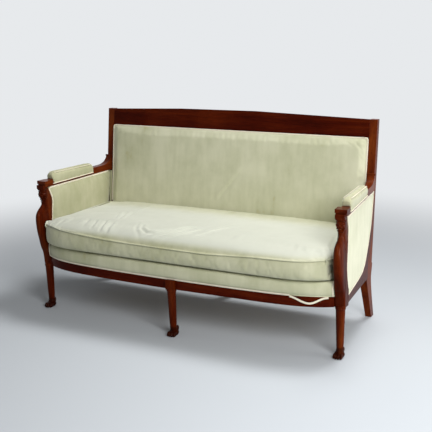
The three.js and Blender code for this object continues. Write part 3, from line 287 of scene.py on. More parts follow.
def darkened(add, colour, share):
    """A colour, left with only a share of its strength."""
    return add("ShaderNodeMix", {0: 1, 6: colour, 7: share},
               data_type="RGBA", blend_type="MULTIPLY").outputs[2]


def mahogany(name, grain_axis, dark, middle, light, roughness=0.24, shine=0.08, dark_paws=False):
    """Polished mahogany whose grain runs along one axis. Its paws can be made darker, below a given height.
    """
    material, shader, add, fill = blank_finish(
        name, {"Specular IOR Level": shine, "Specular Tint": (1.0, 0.60, 0.46, 1)})
    place = add("ShaderNodeTexCoord", {}).outputs["Object"]
    grain_scale = [0.07 if axis == grain_axis else 1.0 for axis in "XYZ"]
    stretch = add("ShaderNodeMapping", {"Vector": place, "Scale": grain_scale}).outputs["Vector"]
    figure = add("ShaderNodeTexNoise", {"Vector": stretch, "Scale": 26, "Detail": 6, "Roughness": 0.62,
                                        "Distortion": 0.5}).outputs["Fac"]
    pores = add("ShaderNodeTexNoise", {"Vector": stretch, "Scale": 420, "Detail": 2}).outputs["Fac"]
    cloud = add("ShaderNodeTexNoise", {"Vector": place, "Scale": 3.5, "Detail": 2}).outputs["Fac"]
    figured = add("ShaderNodeMath", {0: cloud, 1: 0.55, 2: figure}, operation="MULTIPLY_ADD").outputs[0]
    tone = colour_ramp(add, figured, [(0.56, dark), (0.76, middle), (1.0, light)])
    fleck = add("ShaderNodeMapRange", {"Value": pores, "From Min": 0.36, "From Max": 0.56, "To Min": 0.72})
    colour = darkened(add, tone, fleck.outputs["Result"])
    if dark_paws:
        height = add("ShaderNodeSeparateXYZ", {0: place}).outputs["Z"]
        above_paw = add("ShaderNodeMapRange", {"Value": height, "From Min": 0.038, "From Max": 0.052,
                                               "To Min": 0.36}, interpolation_type="SMOOTHSTEP")
        colour = darkened(add, colour, above_paw.outputs["Result"])
    polish = add("ShaderNodeMapRange", {"Value": cloud, "To Min": roughness - 0.06,
                                        "To Max": roughness + 0.1})
    relief = add("ShaderNodeBump", {"Height": pores, "Strength": 0.12, "Distance": 0.0004})
    fill(shader, {"Base Color": colour, "Roughness": polish.outputs["Result"],
                  "Normal": relief.outputs["Normal"]})
    return material


def solid_of(node):
    """The object of a solid, which the frame gives as it is or by its name."""
    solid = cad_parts[node]
    return bpy.data.objects[solid] if isinstance(solid, str) else solid


def merged_copy(node, angle):
    """A copy of a solid as one skin, without the edges that cross its flat faces."""
    bm = bmesh.new()
    bm.from_mesh(solid_of(node).data)
    bmesh.ops.remove_doubles(bm, verts=bm.verts, dist=0.00002)
    bmesh.ops.dissolve_limit(bm, angle_limit=math.radians(angle), verts=bm.verts, edges=bm.edges)
    return bm


def crisp_mesh(bm, mesh):
    """Write a bmesh to a mesh that is smooth but for its arrises."""
    bm.to_mesh(mesh)
    bm.free()
    mesh.shade_smooth()
    mesh.set_sharp_from_angle(angle=math.radians(30))
    return mesh


def crisp_copy(node, name):
    """A mesh of a solid that can take a finish and an eased arris."""
    return crisp_mesh(merged_copy(node, 1.5), bpy.data.meshes.new(name))


def add_shape(bm, shape):
    """Add the faces of one bmesh to another."""
    mesh = bpy.data.meshes.new("shape")
    shape.to_mesh(mesh)
    shape.free()
    bm.from_mesh(mesh)
    bpy.data.meshes.remove(mesh)


def ease_arrises(piece, width, angle):
    """Take off every edge of a piece that is sharper than the angle."""
    easing = piece.modifiers.new("arris", "BEVEL")
    easing.width = width
    easing.segments = 2
    easing.limit_method = "ANGLE"
    easing.angle_limit = math.radians(angle)


def add_scroll(mesh, side):
    """The small roll that ends an arm rail where it turns up against the stile."""
    roll = bmesh.new()
    bmesh.ops.create_cone(roll, cap_ends=True, segments=20, radius1=0.0046, radius2=0.0046, depth=0.0380)
    bmesh.ops.rotate(roll, matrix=Matrix.Rotation(math.pi / 2, 3, "Y"), verts=roll.verts)
    bmesh.ops.translate(roll, vec=(side * 0.7458, 0.2880, 0.7158), verts=roll.verts)
    rail = bmesh.new()
    rail.from_mesh(mesh)
    add_shape(rail, roll)
    crisp_mesh(rail, mesh)


deep_red = [(0.024, 0.0016, 0.0004), (0.051, 0.0040, 0.0008), (0.095, 0.0115, 0.0018)]
warm_red = [(0.050, 0.0050, 0.0010), (0.105, 0.0150, 0.0022), (0.180, 0.0360, 0.0050)]
rail_finish = mahogany("mahogany_rail", "X", *deep_red, shine=0.05)
side_finish = mahogany("mahogany_side", "Y", *deep_red, shine=0.04)
stile_finish = mahogany("mahogany_stile", "Z", *warm_red)
arm_finish = mahogany("mahogany_arm", "Y", *warm_red)

for node, finish in [
    ("crest_rail", rail_finish), ("front_rail_left", rail_finish), ("front_rail_right", rail_finish),
    ("side_rail_left", side_finish), ("side_rail_right", side_finish),
    ("rear_stile_left", stile_finish), ("rear_stile_right", stile_finish),
    ("arm_rail_left", arm_finish), ("arm_rail_right", arm_finish), ("middle_leg_rear", stile_finish),
]:
    wood_mesh = crisp_copy(node, f"{node}_polished")
    if node.startswith("arm_rail"):
        add_scroll(wood_mesh, 1 if node.endswith("right") else -1)
    wood = show(f"{node}_polished", wood_mesh, finish, node)
    ease_arrises(wood, 0.0014, 32)


# Front posts
# Each is one piece of carved mahogany: a lion's head with its mane, a swelling chest, the square
# block that takes the rails, a tapered round leg and a paw. The middle leg has no console.


def clamped(value, low=0, high=1):
    """A value kept between two limits."""
    return min(high, max(low, value))


def smooth_curve(rows, place):
    """The height at a place of a smooth curve through rows of (place, height)."""
    if place <= rows[0][0]:
        return rows[0][1]
    if place >= rows[-1][0]:
        return rows[-1][1]
    step = next(i for i in range(len(rows) - 1) if rows[i + 1][0] >= place)
    (x0, y0), (x1, y1) = rows[max(step - 1, 0)], rows[step]
    (x2, y2), (x3, y3) = rows[step + 1], rows[min(step + 2, len(rows) - 1)]
    gap = x2 - x1
    share = (place - x1) / gap
    slope_in = (y2 - y0) / (x2 - x0) * gap
    slope_out = (y3 - y1) / (x3 - x1) * gap
    return (y1 * (2 * share ** 3 - 3 * share ** 2 + 1) + slope_in * (share ** 3 - 2 * share ** 2 + share)
            + y2 * (3 * share ** 2 - 2 * share ** 3) + slope_out * (share ** 3 - share ** 2))


post_middle = 0.783
console_low, console_high = 0.2315, 0.632
console_front = [(0.2315, -0.0013), (0.2657, -0.0074), (0.300, -0.0161), (0.317, -0.026), (0.344, -0.0375),
                 (0.3735, -0.047), (0.403, -0.0563), (0.432, -0.0623), (0.4666, -0.067), (0.4935, -0.066),
                 (0.5107, -0.0576), (0.523, -0.0449), (0.535, -0.0301), (0.545, -0.0214), (0.556, -0.018),
                 (0.570, -0.017), (0.632, -0.016)]
console_half = [(0.300, 0.0238), (0.317, 0.0238), (0.344, 0.0233), (0.3735, 0.0228), (0.432, 0.0222),
                (0.4666, 0.022), (0.4935, 0.0214), (0.5107, 0.0205), (0.523, 0.0192), (0.535, 0.0178),
                (0.545, 0.0172), (0.58, 0.0176), (0.632, 0.019)]
breast_half = [(0.430, 0.0222), (0.4666, 0.0212), (0.4935, 0.0192), (0.5107, 0.0168), (0.523, 0.0146),
               (0.535, 0.0124), (0.545, 0.0112), (0.556, 0.0112), (0.570, 0.0150), (0.632, 0.0160)]
console_back = [(0.285, 0.046), (0.305, 0.0455), (0.330, 0.0400), (0.365, 0.0322), (0.406, 0.028),
                (0.497, 0.0368), (0.5595, 0.0437), (0.597, 0.0308), (0.632, 0.0138)]
console_squareness = [(0.2315, 8.0), (0.2657, 7.0), (0.300, 6.0), (0.33, 4.2), (0.37, 3.0), (0.43, 2.5),
                      (0.54, 2.15), (0.632, 2.2)]


def add_console(bm):
    """The swelling front of a post, from its block up to the crown of the head."""
    column = bmesh.ops.create_cone(bm, cap_ends=True, segments=72, radius1=1, radius2=1, depth=1)["verts"]
    walls = [edge for vert in column for edge in vert.link_edges
             if abs(edge.verts[0].co.z - edge.verts[1].co.z) > 0.5]
    bmesh.ops.subdivide_edges(bm, edges=list(set(walls)), cuts=130)
    for vert in bm.verts:
        height = console_low + (console_high - console_low) * (vert.co.z + 0.5)
        angle = math.atan2(vert.co.y, vert.co.x)
        front = smooth_curve(console_front, height)
        back = smooth_curve(console_back, height)
        power = smooth_curve(console_squareness, height) if vert.co.y < 0 else 8.0
        across = math.copysign(abs(math.cos(angle)) ** (2 / power), math.cos(angle))
        deep = math.copysign(abs(math.sin(angle)) ** (2 / power), math.sin(angle))
        depth = (front + back) / 2 + (back - front) / 2 * deep
        forward = clamped(-depth / 0.007)
        forward = forward * forward * (3 - 2 * forward)
        half = smooth_curve(console_half, height)
        half += (min(half, smooth_curve(breast_half, height)) - half) * forward
        vert.co = placed(post_middle + half * across, depth, height)


def add_ball(bm, place, size, turn=None):
    """An oval lump of wood, such as a cheek, a toe or a lock of the mane."""
    lump = bmesh.new()
    ball = bmesh.ops.create_uvsphere(lump, u_segments=20, v_segments=10, radius=1)["verts"]
    bmesh.ops.scale(lump, vec=size, verts=ball)
    if turn is not None:
        bmesh.ops.rotate(lump, matrix=turn, verts=ball)
    bmesh.ops.translate(lump, vec=place, verts=ball)
    add_shape(bm, lump)


def add_head(bm):
    """The lion's head: a band of curls, brows, muzzle and cheeks, and the rolls of the mane."""
    def lump(across, back, height, rx, ry, rz, turn=None):
        for side in ((-1, 1) if across else (1,)):
            tilt = None
            if turn is not None:
                tilt = Matrix.Rotation(math.radians(side * turn[0]), 3, turn[1])
            add_ball(bm, placed(post_middle + side * across, back, height), (rx, ry, rz), tilt)

    lump(0, -0.0080, 0.6030, 0.0185, 0.0200, 0.0290)
    lump(0, -0.0105, 0.6215, 0.0215, 0.0175, 0.0085)
    for step in range(6):
        across = 0.0040 * step
        round_front = 0.0172 * math.sqrt(1 - (across / 0.0222) ** 2)
        lump(across, -0.0105 - round_front, 0.6205, 0.0026, 0.0036, 0.0062)
    lump(0.0078, -0.0225, 0.6075, 0.0086, 0.0070, 0.0038, (-12, "Y"))
    lump(0.0074, -0.0255, 0.6015, 0.0036, 0.0036, 0.0024)
    lump(0, -0.0255, 0.6005, 0.0046, 0.0084, 0.0110)
    lump(0, -0.0318, 0.5935, 0.0054, 0.0042, 0.0036)
    lump(0.0060, -0.0262, 0.5885, 0.0070, 0.0072, 0.0050)
    lump(0, -0.0220, 0.5785, 0.0078, 0.0074, 0.0044)
    lump(0.0130, -0.0165, 0.5960, 0.0066, 0.0100, 0.0082)
    for height, across, reach in [(0.6085, 0.0160, 0.0160), (0.5985, 0.0162, 0.0156),
                                  (0.5885, 0.0156, 0.0150), (0.5785, 0.0142, 0.0142)]:
        lump(across, -0.0050, height, 0.0058, reach, 0.0041, (-8, "Y"))
    for height, half, reach, thick in [(0.5690, 0.0174, 0.0162, 0.0041), (0.5600, 0.0144, 0.0150, 0.0040),
                                       (0.5515, 0.0116, 0.0140, 0.0039)]:
        lump(0, -0.0080, height, half, reach, thick)


def add_leg(bm, across, back, lean):
    """A tapered round leg, turned, with a collar under the block, raked a little at its foot."""
    profile = [(0.0001, 0.236), (0.0220, 0.236), (0.0221, 0.226), (0.0236, 0.2245), (0.0236, 0.2215),
               (0.0212, 0.2190), (0.0209, 0.2140), (0.0196, 0.170), (0.0182, 0.110), (0.0171, 0.070),
               (0.0160, 0.046), (0.0162, 0.030), (0.0001, 0.030)]
    turned = bmesh.new()
    corners = [turned.verts.new(placed(across + radius, back, height)) for radius, height in profile]
    edges = [turned.edges.new(pair) for pair in zip(corners, corners[1:])]
    bmesh.ops.spin(turned, geom=corners + edges, cent=placed(across, back, 0), axis=(0, 0, 1),
                   angle=2 * math.pi, steps=40, use_merge=True)
    for vert in turned.verts:
        vert.co.y -= lean * max(0, vert.co.z - 0.030) / 0.206
    add_shape(bm, turned)


def add_paw(bm, across, back):
    """A lion's paw: a broad pad with four toes and their claws, and fur at the heel."""
    add_ball(bm, placed(across, back + 0.0036, 0.0135), (0.0238, 0.0250, 0.0170))
    add_ball(bm, placed(across, back + 0.0095, 0.0290), (0.0180, 0.0200, 0.0200))
    for share in (-0.62, -0.215, 0.215, 0.62):
        forward = back - 0.0262 * (1.02 - share ** 2 * 0.62)
        for ahead, height, size in [(0.0036, 0.0115, (0.0057, 0.0115, 0.0110)),
                                    (-0.0040, 0.0080, (0.0050, 0.0060, 0.0070)),
                                    (-0.0076, 0.0038, (0.0018, 0.0034, 0.0038))]:
            add_ball(bm, placed(across + 0.0270 * share, forward + ahead, height), size)
    for angle in (-60, -30, 0, 30, 60):
        turn = math.radians(angle)
        tuft = placed(across + 0.0172 * math.sin(turn), back + 0.0100 + 0.0172 * math.cos(turn), 0.033)
        add_ball(bm, tuft, (0.0034, 0.0038, 0.0120))


def add_block(bm, low, high):
    """A square block between two opposite corners."""
    block = bmesh.ops.create_cube(bm, size=1)["verts"]
    low, high = placed(*low), placed(*high)
    bmesh.ops.scale(bm, vec=high - low, verts=block)
    bmesh.ops.translate(bm, vec=(low + high) / 2, verts=block)


def carved(bm, name, grain):
    """Fuse the lumps into one skin, fine enough to carve."""
    rough = bpy.data.meshes.new(name)
    bmesh.ops.recalc_face_normals(bm, faces=bm.faces)
    bm.to_mesh(rough)
    bm.free()
    holder = bpy.data.objects.new(name + "_blank", rough)
    bpy.context.collection.objects.link(holder)
    fusing = holder.modifiers.new("fuse", "REMESH")
    fusing.mode = "VOXEL"
    fusing.voxel_size = grain
    graph = bpy.context.evaluated_depsgraph_get()
    mesh = bpy.data.meshes.new_from_object(holder.evaluated_get(graph))
    bpy.data.objects.remove(holder)
    mesh.name = name
    return mesh


def smoothed(bm):
    """Relax every point of a skin halfway to its neighbours."""
    bmesh.ops.smooth_vert(bm, verts=bm.verts, factor=0.5, use_axis_x=True, use_axis_y=True, use_axis_z=True)


def chisel(mesh):
    """Cut the mouth, the lines of the mane and the grooves beside the breast; flatten the sole."""
    bm = bmesh.new()
    bm.from_mesh(mesh)
    smoothed(bm)
    bm.normal_update()
    for vert in bm.verts:
        across = (vert.co.x - post_middle) * 1000
        back = (vert.co.y - front_of_posts) * 1000
        height = vert.co.z * 1000
        depth = 0.0
        if 545 < height < 634:
            mouth = math.exp(-((height - 584.5 - 0.02 * across ** 2) / 1.4) ** 2)
            if back < -14 and abs(across) < 10:
                depth -= 1.4 * mouth
                depth -= 0.7 * math.exp(-(across / 1.3) ** 2) * (1 if 585 < height < 593 else 0)
            if back < 6:
                depth -= 1.2 * math.exp(-((height - 612.4) / 1.4) ** 2)
        if 250 < height < 545 and abs(across) > 8:
            edge = smooth_curve(console_back, vert.co.z) * 1000 - 10
            fade = clamped(min((545 - height) / 12, (height - 250) / 12))
            depth -= 1.8 * math.exp(-((back - edge) / 1.9) ** 2) * fade
            depth -= 2.2 * math.exp(-((back + 3) / 2.6) ** 2) * clamped((height - 470) / 40) * fade
        vert.co += vert.normal * depth / 1000
        vert.co.z = max(vert.co.z, 0)
    bm.to_mesh(mesh)
    bm.free()
    mesh.shade_smooth()
    return mesh


def mirrored(mesh, name):
    """The same piece for the other end of the settee."""
    bm = bmesh.new()
    bm.from_mesh(mesh)
    bmesh.ops.scale(bm, vec=(-1, 1, 1), verts=bm.verts)
    bmesh.ops.reverse_faces(bm, faces=bm.faces)
    other = bpy.data.meshes.new(name)
    bm.to_mesh(other)
    bm.free()
    other.shade_smooth()
    return other


carved_finish = mahogany("mahogany_carved", "Z", (0.028, 0.0024, 0.0005), (0.070, 0.0078, 0.0011),
                         (0.125, 0.0225, 0.0032), 0.20, 0.06, dark_paws=True)
post_bm = bmesh.new()
add_console(post_bm)
add_head(post_bm)
add_block(post_bm, (0.7592, 0.0002, 0.2282), (0.8068, 0.0458, 0.3048))
add_block(post_bm, (0.7610, -0.0270, 0.6230), (0.8050, 0.0050, 0.6420))
add_leg(post_bm, post_middle, 0.013, 0.004)
add_paw(post_bm, post_middle, 0.004)
post_mesh = chisel(carved(post_bm, "front_post_right_carved", 0.0015))
for hand, mesh in [("right", post_mesh), ("left", mirrored(post_mesh, "front_post_left_carved"))]:
    show(f"front_post_{hand}_carved", mesh, carved_finish, f"front_post_{hand}")

middle_bm = bmesh.new()
add_block(middle_bm, (-0.0223, -0.1058, 0.2282), (0.0223, -0.0422, 0.2750))
add_block(middle_bm, (-0.0223, -0.0798, 0.2600), (0.0223, -0.0422, 0.2998))
add_leg(middle_bm, 0, -0.0781, 0.010)
add_paw(middle_bm, 0, -0.0781)
middle_mesh = chisel(carved(middle_bm, "middle_leg_front_carved", 0.0017))
show("middle_leg_front_carved", middle_mesh, carved_finish, "middle_leg_front")


# Inner frame
# Sawn beech, left plain because the covers hide it: rear seat rail, lower back rail, cross rail
# and the glued corner blocks.


def sawn_beech():
    """Beech as it left the saw, its grain running along the settee."""
    material, shader, add, fill = blank_finish("sawn_beech", {"Roughness": 0.7})
    place = add("ShaderNodeTexCoord", {}).outputs["Object"]
    stretch = add("ShaderNodeMapping", {"Vector": place, "Scale": (0.1, 1, 1)}).outputs["Vector"]
    grain = add("ShaderNodeTexNoise", {"Vector": stretch, "Scale": 90, "Detail": 5}).outputs["Fac"]
    tone = colour_ramp(add, grain, [(0.3, (0.30, 0.17, 0.07)), (0.7, (0.50, 0.32, 0.16))])
    relief = add("ShaderNodeBump", {"Height": grain, "Strength": 0.3, "Distance": 0.0006})
    fill(shader, {"Base Color": tone, "Normal": relief.outputs["Normal"]})
    return material


def finish_node(node, material):
    """Give a solid that stays as it is its finish."""
    solid = solid_of(node)
    if not solid.material_slots:
        solid.data.materials.append(material)
    for place in solid.material_slots:
        place.material = material


beech_finish = sawn_beech()
for node in ["rear_seat_rail", "lower_back_rail", "cross_rail", "front_corner_block_left",
             "front_corner_block_right", "rear_corner_block_left", "rear_corner_block_right"]:
    finish_node(node, beech_finish)


# Cover
# Pale sage cotton velvet with a short, worn pile, greener in its hollows and a little yellowed
# where it has been rubbed. On the arms it is more soiled and also darker as painted shade. The seat's
# copy is darker as painted shade on its front, and a paler colour on top of the seat is painted light,
# fading out near the back as painted shadow.


def sage_velvet(name, soiled, fresh, worn, painted_top_light=None):
    """Short cotton pile, brushed along one way and worn in patches. The seat's top can take painted light,
    which fades out towards the back as painted shadow.
    """
    material, shader, add, fill = blank_finish(name, {
        "Roughness": 0.82, "Specular IOR Level": 0.15, "Sheen Weight": 0.5, "Sheen Roughness": 0.4,
        "Sheen Tint": (0.97, 0.98, 0.93, 1)})
    place = add("ShaderNodeTexCoord", {}).outputs["Object"]
    brushed = add("ShaderNodeMapping", {"Vector": place, "Scale": (1.0, 1.0, 0.16)}).outputs["Vector"]
    cloud = add("ShaderNodeTexNoise", {"Vector": place, "Scale": 5.5, "Detail": 4, "Roughness": 0.6})
    streak = add("ShaderNodeTexNoise", {"Vector": brushed, "Scale": 34, "Detail": 3}).outputs["Fac"]
    pile = add("ShaderNodeTexNoise", {"Vector": place, "Scale": 900, "Detail": 2}).outputs["Fac"]
    patch = add("ShaderNodeMath", {0: streak, 1: 0.45, 2: cloud.outputs["Fac"]}, operation="MULTIPLY_ADD")
    colour = colour_ramp(add, patch.outputs[0], [(0.44, soiled), (0.55, fresh), (0.92, worn)])
    # Painted light: a paler colour over the seat's top stands in for the light and sheen on it. It is left
    # off near the back, as painted shadow where the back's shadow falls.
    if painted_top_light:
        where = add("ShaderNodeSeparateXYZ", {0: place}).outputs
        upper = add("ShaderNodeMapRange", {"Value": where["Z"], "From Min": 0.434, "From Max": 0.464,
                                           "To Max": 0.85}, interpolation_type="SMOOTHSTEP")
        forward = add("ShaderNodeMapRange", {"Value": where["Y"], "From Min": 0.21, "From Max": 0.05},
                      interpolation_type="SMOOTHSTEP")
        lit = add("ShaderNodeMath", {0: upper.outputs["Result"], 1: forward.outputs["Result"]},
                  operation="MULTIPLY")
        colour = add("ShaderNodeMix", {0: lit.outputs[0], 6: colour, 7: (*painted_top_light, 1)},
                     data_type="RGBA").outputs[2]
    nap = add("ShaderNodeMath", {0: pile, 1: 0.3, 2: streak}, operation="MULTIPLY_ADD")
    relief = add("ShaderNodeBump", {"Height": nap.outputs[0], "Strength": 0.28, "Distance": 0.0012})
    fill(shader, {"Base Color": colour, "Normal": relief.outputs["Normal"]})
    return material


velvet = sage_velvet(
    "sage_velvet", (0.465, 0.445, 0.254), (0.520, 0.524, 0.350), (0.640, 0.635, 0.460))
# The arms' copy is yellower as soiling, and darker also as painted shade.
arm_velvet_soiled_shaded = sage_velvet(
    "sage_velvet_arms_soiled_shaded", (0.300, 0.280, 0.140), (0.345, 0.345, 0.205), (0.440, 0.430, 0.280))
# The seat's copy is darker than the back's velvet, as painted shade on the front of the deck and cushion.
# Its top gets painted light.
seat_velvet_shade_top_light = sage_velvet(
    "sage_velvet_seat_shade_top_light", (0.390, 0.372, 0.204), (0.437, 0.440, 0.282), (0.550, 0.545, 0.382),
    painted_top_light=(0.530, 0.545, 0.475))


# Seat deck
# The fixed seat over the webbing, stuffed and stitched to a firm roll along its front edge. Its
# cover is close-tacked along the show edge of the rail.

between_posts, between_stiles, stile_front = 0.759, 0.720, 0.4465
post_outer, arm_thickness, arm_splay = 0.807, 0.0407, 0.0826
deck_back, deck_top, web_top, rail_top = 0.484, 0.35, 0.3056, 0.2753


def wrapped(rings):
    """A closed skin laid over rings of points, each with the same number, a multiple of four."""
    count, last = len(rings[0]), len(rings) - 1
    bm = bmesh.new()
    bmesh.ops.create_cone(bm, cap_ends=True, segments=count, radius1=1, radius2=1, depth=1)
    uprights = [edge for edge in bm.edges if abs(edge.verts[0].co.z - edge.verts[1].co.z) > 0.5]
    bmesh.ops.subdivide_edges(bm, edges=uprights, cuts=last - 1)
    for vert in bm.verts:
        turn = math.atan2(vert.co.y, vert.co.x) / (2 * math.pi)
        vert.co = rings[round((vert.co.z + 0.5) * last)][round(turn * count) % count]
    bmesh.ops.recalc_face_normals(bm, faces=bm.faces)
    return bm


def even(start, end, count):
    """Evenly spaced values from a start to an end."""
    return [start + (end - start) * step / (count - 1) for step in range(count)]


def front_line(x):
    """The bow of the seat's front, measured from the front faces of the posts."""
    share = min(1, abs(x) / 0.765)
    return -0.028 * (1 - share ** 2) - 0.060 * (1 - share ** 8)


def seat_half_width(y, gap):
    """Half the room for the seat at a depth, between the posts, the splayed arms or the stiles."""
    widest = between_posts if y < stile_front else between_stiles
    return min(widest, post_outer - arm_thickness - arm_splay * max(0, y)) - gap


deck_rings = []
for share in [math.sin(math.pi / 2 * step) for step in even(-1, 1, 170)]:
    lip = front_line(share * 0.7587)
    bulge = 0.0090 * (1 + 0.16 * noise.noise(Vector((share * 11, 3, 0))))
    roll = [(lip + 0.0004, rail_top)]
    for angle in even(-72, 78, 17):
        turn = math.radians(angle)
        roll.append((lip + 0.0110 - (0.0105 + bulge) * math.cos(turn) ** 0.62,
                     0.3100 + 0.0325 * math.sin(turn)))
    section = [(deck_back, web_top), (0.25, web_top), (lip + 0.0077, web_top), (lip + 0.0077, rail_top)]
    section += roll + [(lip + 0.016, 0.3424), (lip + 0.030, 0.3432), (lip + 0.055, 0.3450)]
    section += [(lip + 0.085, 0.3480)] + [(y, deck_top) for y in even(lip + 0.12, deck_back, 10)]
    section += [(deck_back, 0.3367), (deck_back, 0.321)]
    while len(section) % 4:
        section.insert(1, (0.37, web_top))
    deck_rings.append([placed(share * seat_half_width(y, 0.0006), y, z) for y, z in section])
deck_mesh = finished_mesh(wrapped(deck_rings), "seat_deck_cover", 60)
seat_deck = show("seat_deck_cover", deck_mesh, seat_velvet_shade_top_light, "seat_deck")


# Seat cushion
# A loose squab, boxed and piped, filled with feathers. It is crowned, plumper over the front edge
# than behind, and creased where people slide off it.

cushion_half, cushion_low, cushion_back, cushion_gap = 0.751, 0.3503, 0.485, 0.006
piping_line = [(-0.751, 0.452), (-0.68, 0.454), (-0.62, 0.447), (-0.49, 0.438), (-0.376, 0.431),
               (-0.262, 0.427), (-0.15, 0.4255), (0.04, 0.4235), (0.2, 0.4235), (0.424, 0.4355),
               (0.62, 0.4385), (0.751, 0.442)]


def puffed(bm, name, held, cap, slack):
    """Fill a cover: cloth blown out as far as a cap, held where it is sewn, smoothed once."""
    start = [vert.co.copy() for vert in bm.verts]
    pinned = [vert.index for vert in bm.verts if held(vert.co)]
    mesh = bpy.data.meshes.new(name)
    bm.to_mesh(mesh)
    bm.free()
    cover = bpy.data.objects.new(name + "_cover", mesh)
    bpy.context.collection.objects.link(cover)
    cover.vertex_groups.new(name="held").add(pinned, 1, "REPLACE")
    cloth = cover.modifiers.new("stuffing", "CLOTH")
    cloth.settings.quality = 4
    cloth.settings.mass = 0.15
    cloth.settings.vertex_group_mass = "held"
    cloth.settings.use_pressure = True
    cloth.settings.uniform_pressure_force = 4.0
    cloth.settings.shrink_min = -slack
    cloth.settings.effector_weights.gravity = 0
    cloth.collision_settings.use_collision = False
    cloth.point_cache.frame_end = 20
    for step in range(1, 21):
        bpy.context.scene.frame_set(step)
    filled = cover.evaluated_get(bpy.context.evaluated_depsgraph_get()).to_mesh()
    moved = [filled.vertices[i].co - start[i] for i in range(len(start))]
    cover.modifiers.remove(cloth)
    for vert, begin, move in zip(mesh.vertices, start, moved):
        vert.co = begin + move * (cap / max(cap, move.length))
    bpy.context.scene.frame_set(1)
    finer = cover.modifiers.new("finer", "SUBSURF")
    finer.levels = finer.render_levels = 1
    smooth = bpy.data.meshes.new_from_object(cover.evaluated_get(bpy.context.evaluated_depsgraph_get()))
    bpy.data.objects.remove(cover)
    smooth.name = name
    smooth.shade_smooth()
    return smooth


def cushion_edge(share):
    """The front of the cushion, the height of its piping and the height of its crown."""
    reach = abs(share)
    return (-0.038 - 0.068 * (1 - reach ** 10), smooth_curve(piping_line, share * cushion_half),
            0.470 + 0.012 * (1 - reach ** 4))


def drawn_in(share, y):
    """How far the right front corner has been pushed in, away from its post."""
    return 0.014 * clamped((0.05 - y) / 0.09) ** 2 if share > 0 else 0


def cushion_reach(share, y, above_piping):
    """Half the cushion's width at a depth: its sides are slack, its top is pulled in at the front."""
    front = cushion_edge(share)[0]
    pull = 0.004 * math.sin(math.pi * clamped((y - front) / (cushion_back - front)))
    if above_piping:
        pull += 0.007 * clamped((0.012 - y) / 0.05) ** 2
    return min(cushion_half, seat_half_width(y, cushion_gap)) - pull - drawn_in(share, y)


def cushion_section(share):
    """Points round the cushion: forward over its top, down its boxing, back below and up behind."""
    front, piping, crown = cushion_edge(share)
    from_end = clamped((1 - abs(share)) * cushion_half / 0.048)
    side = max(0.12, math.sqrt(1 - (1 - from_end) ** 2))

    def top(y):
        edge = piping + (0.468 - piping) * clamped((y - front) / 0.5)
        return edge + (crown - edge) * side

    section = [(y, top(y)) for y in even(0.465, front + 0.084, 56)]
    section[0] = (0.476, top(0.476) - 0.002)
    for angle in even(84, 6, 12):
        turn = math.radians(angle)
        y = front + 0.08 * (1 - math.cos(turn))
        section.append((y, piping + (top(y) - piping) * math.sin(turn)))
    section += [(front + 0.0006, piping + 0.0012), (front + 0.0036, piping - 0.0030),
                (front + 0.0022, piping - 0.0075)]
    for drop in even(0.20, 0.80, 6):
        sunk = 0.0030 * math.sin(math.pi * drop)
        section.append((front - sunk, piping - (piping - cushion_low) * drop))
    section += [(front + 0.0016, cushion_low + 0.0100), (front + 0.0065, cushion_low + 0.0050),
                (front + 0.0140, cushion_low + 0.0018), (front + 0.0240, cushion_low)]
    section += [(y, cushion_low) for y in even(front + 0.05, 0.470, 10)]
    section += [(0.480, 0.3520)] + [(cushion_back, z) for z in even(0.362, top(0.48) - 0.014, 6)]
    section.append((0.4825, top(0.48) - 0.006))
    while len(section) % 4:
        section.insert(5, tuple((a + b) / 2 for a, b in zip(section[4], section[5])))
    return section


cushion_rings = []
for share in [math.sin(math.pi / 2 * step) * 0.3 + step * 0.7 for step in even(-1, 1, 200)]:
    piping = cushion_edge(share)[1]
    cushion_rings.append([placed(share * cushion_reach(share, y, z > piping - 0.004), y, z)
                          for y, z in cushion_section(share)])
cushion_bm = wrapped(cushion_rings)
for cap_face in [face for face in cushion_bm.faces if len(face.verts) > 8]:
    for inset in range(3):
        bmesh.ops.inset_individual(cushion_bm, faces=[cap_face], thickness=0.012, depth=0.001)
cushion_bm.verts.index_update()


def piping_at(x):
    """The height of the cushion's piping at a place across the seat."""
    return cushion_edge(clamped(x / cushion_half, -1))[1]


def sewn_cushion(place):
    """Where the cushion doesn't move: its underside, back, front corners and the line of its piping."""
    at_piping = place.y < front_of_posts + 0.02 and -0.009 < place.z - piping_at(place.x) < 0.004
    corner = abs(place.x) > 0.722 and place.y < front_of_posts + 0.03
    return at_piping or corner or place.z < 0.358 or place.y > front_of_posts + 0.462


cushion_mesh = puffed(cushion_bm, "seat_cushion_cover", sewn_cushion, cap=0.006, slack=0.02)

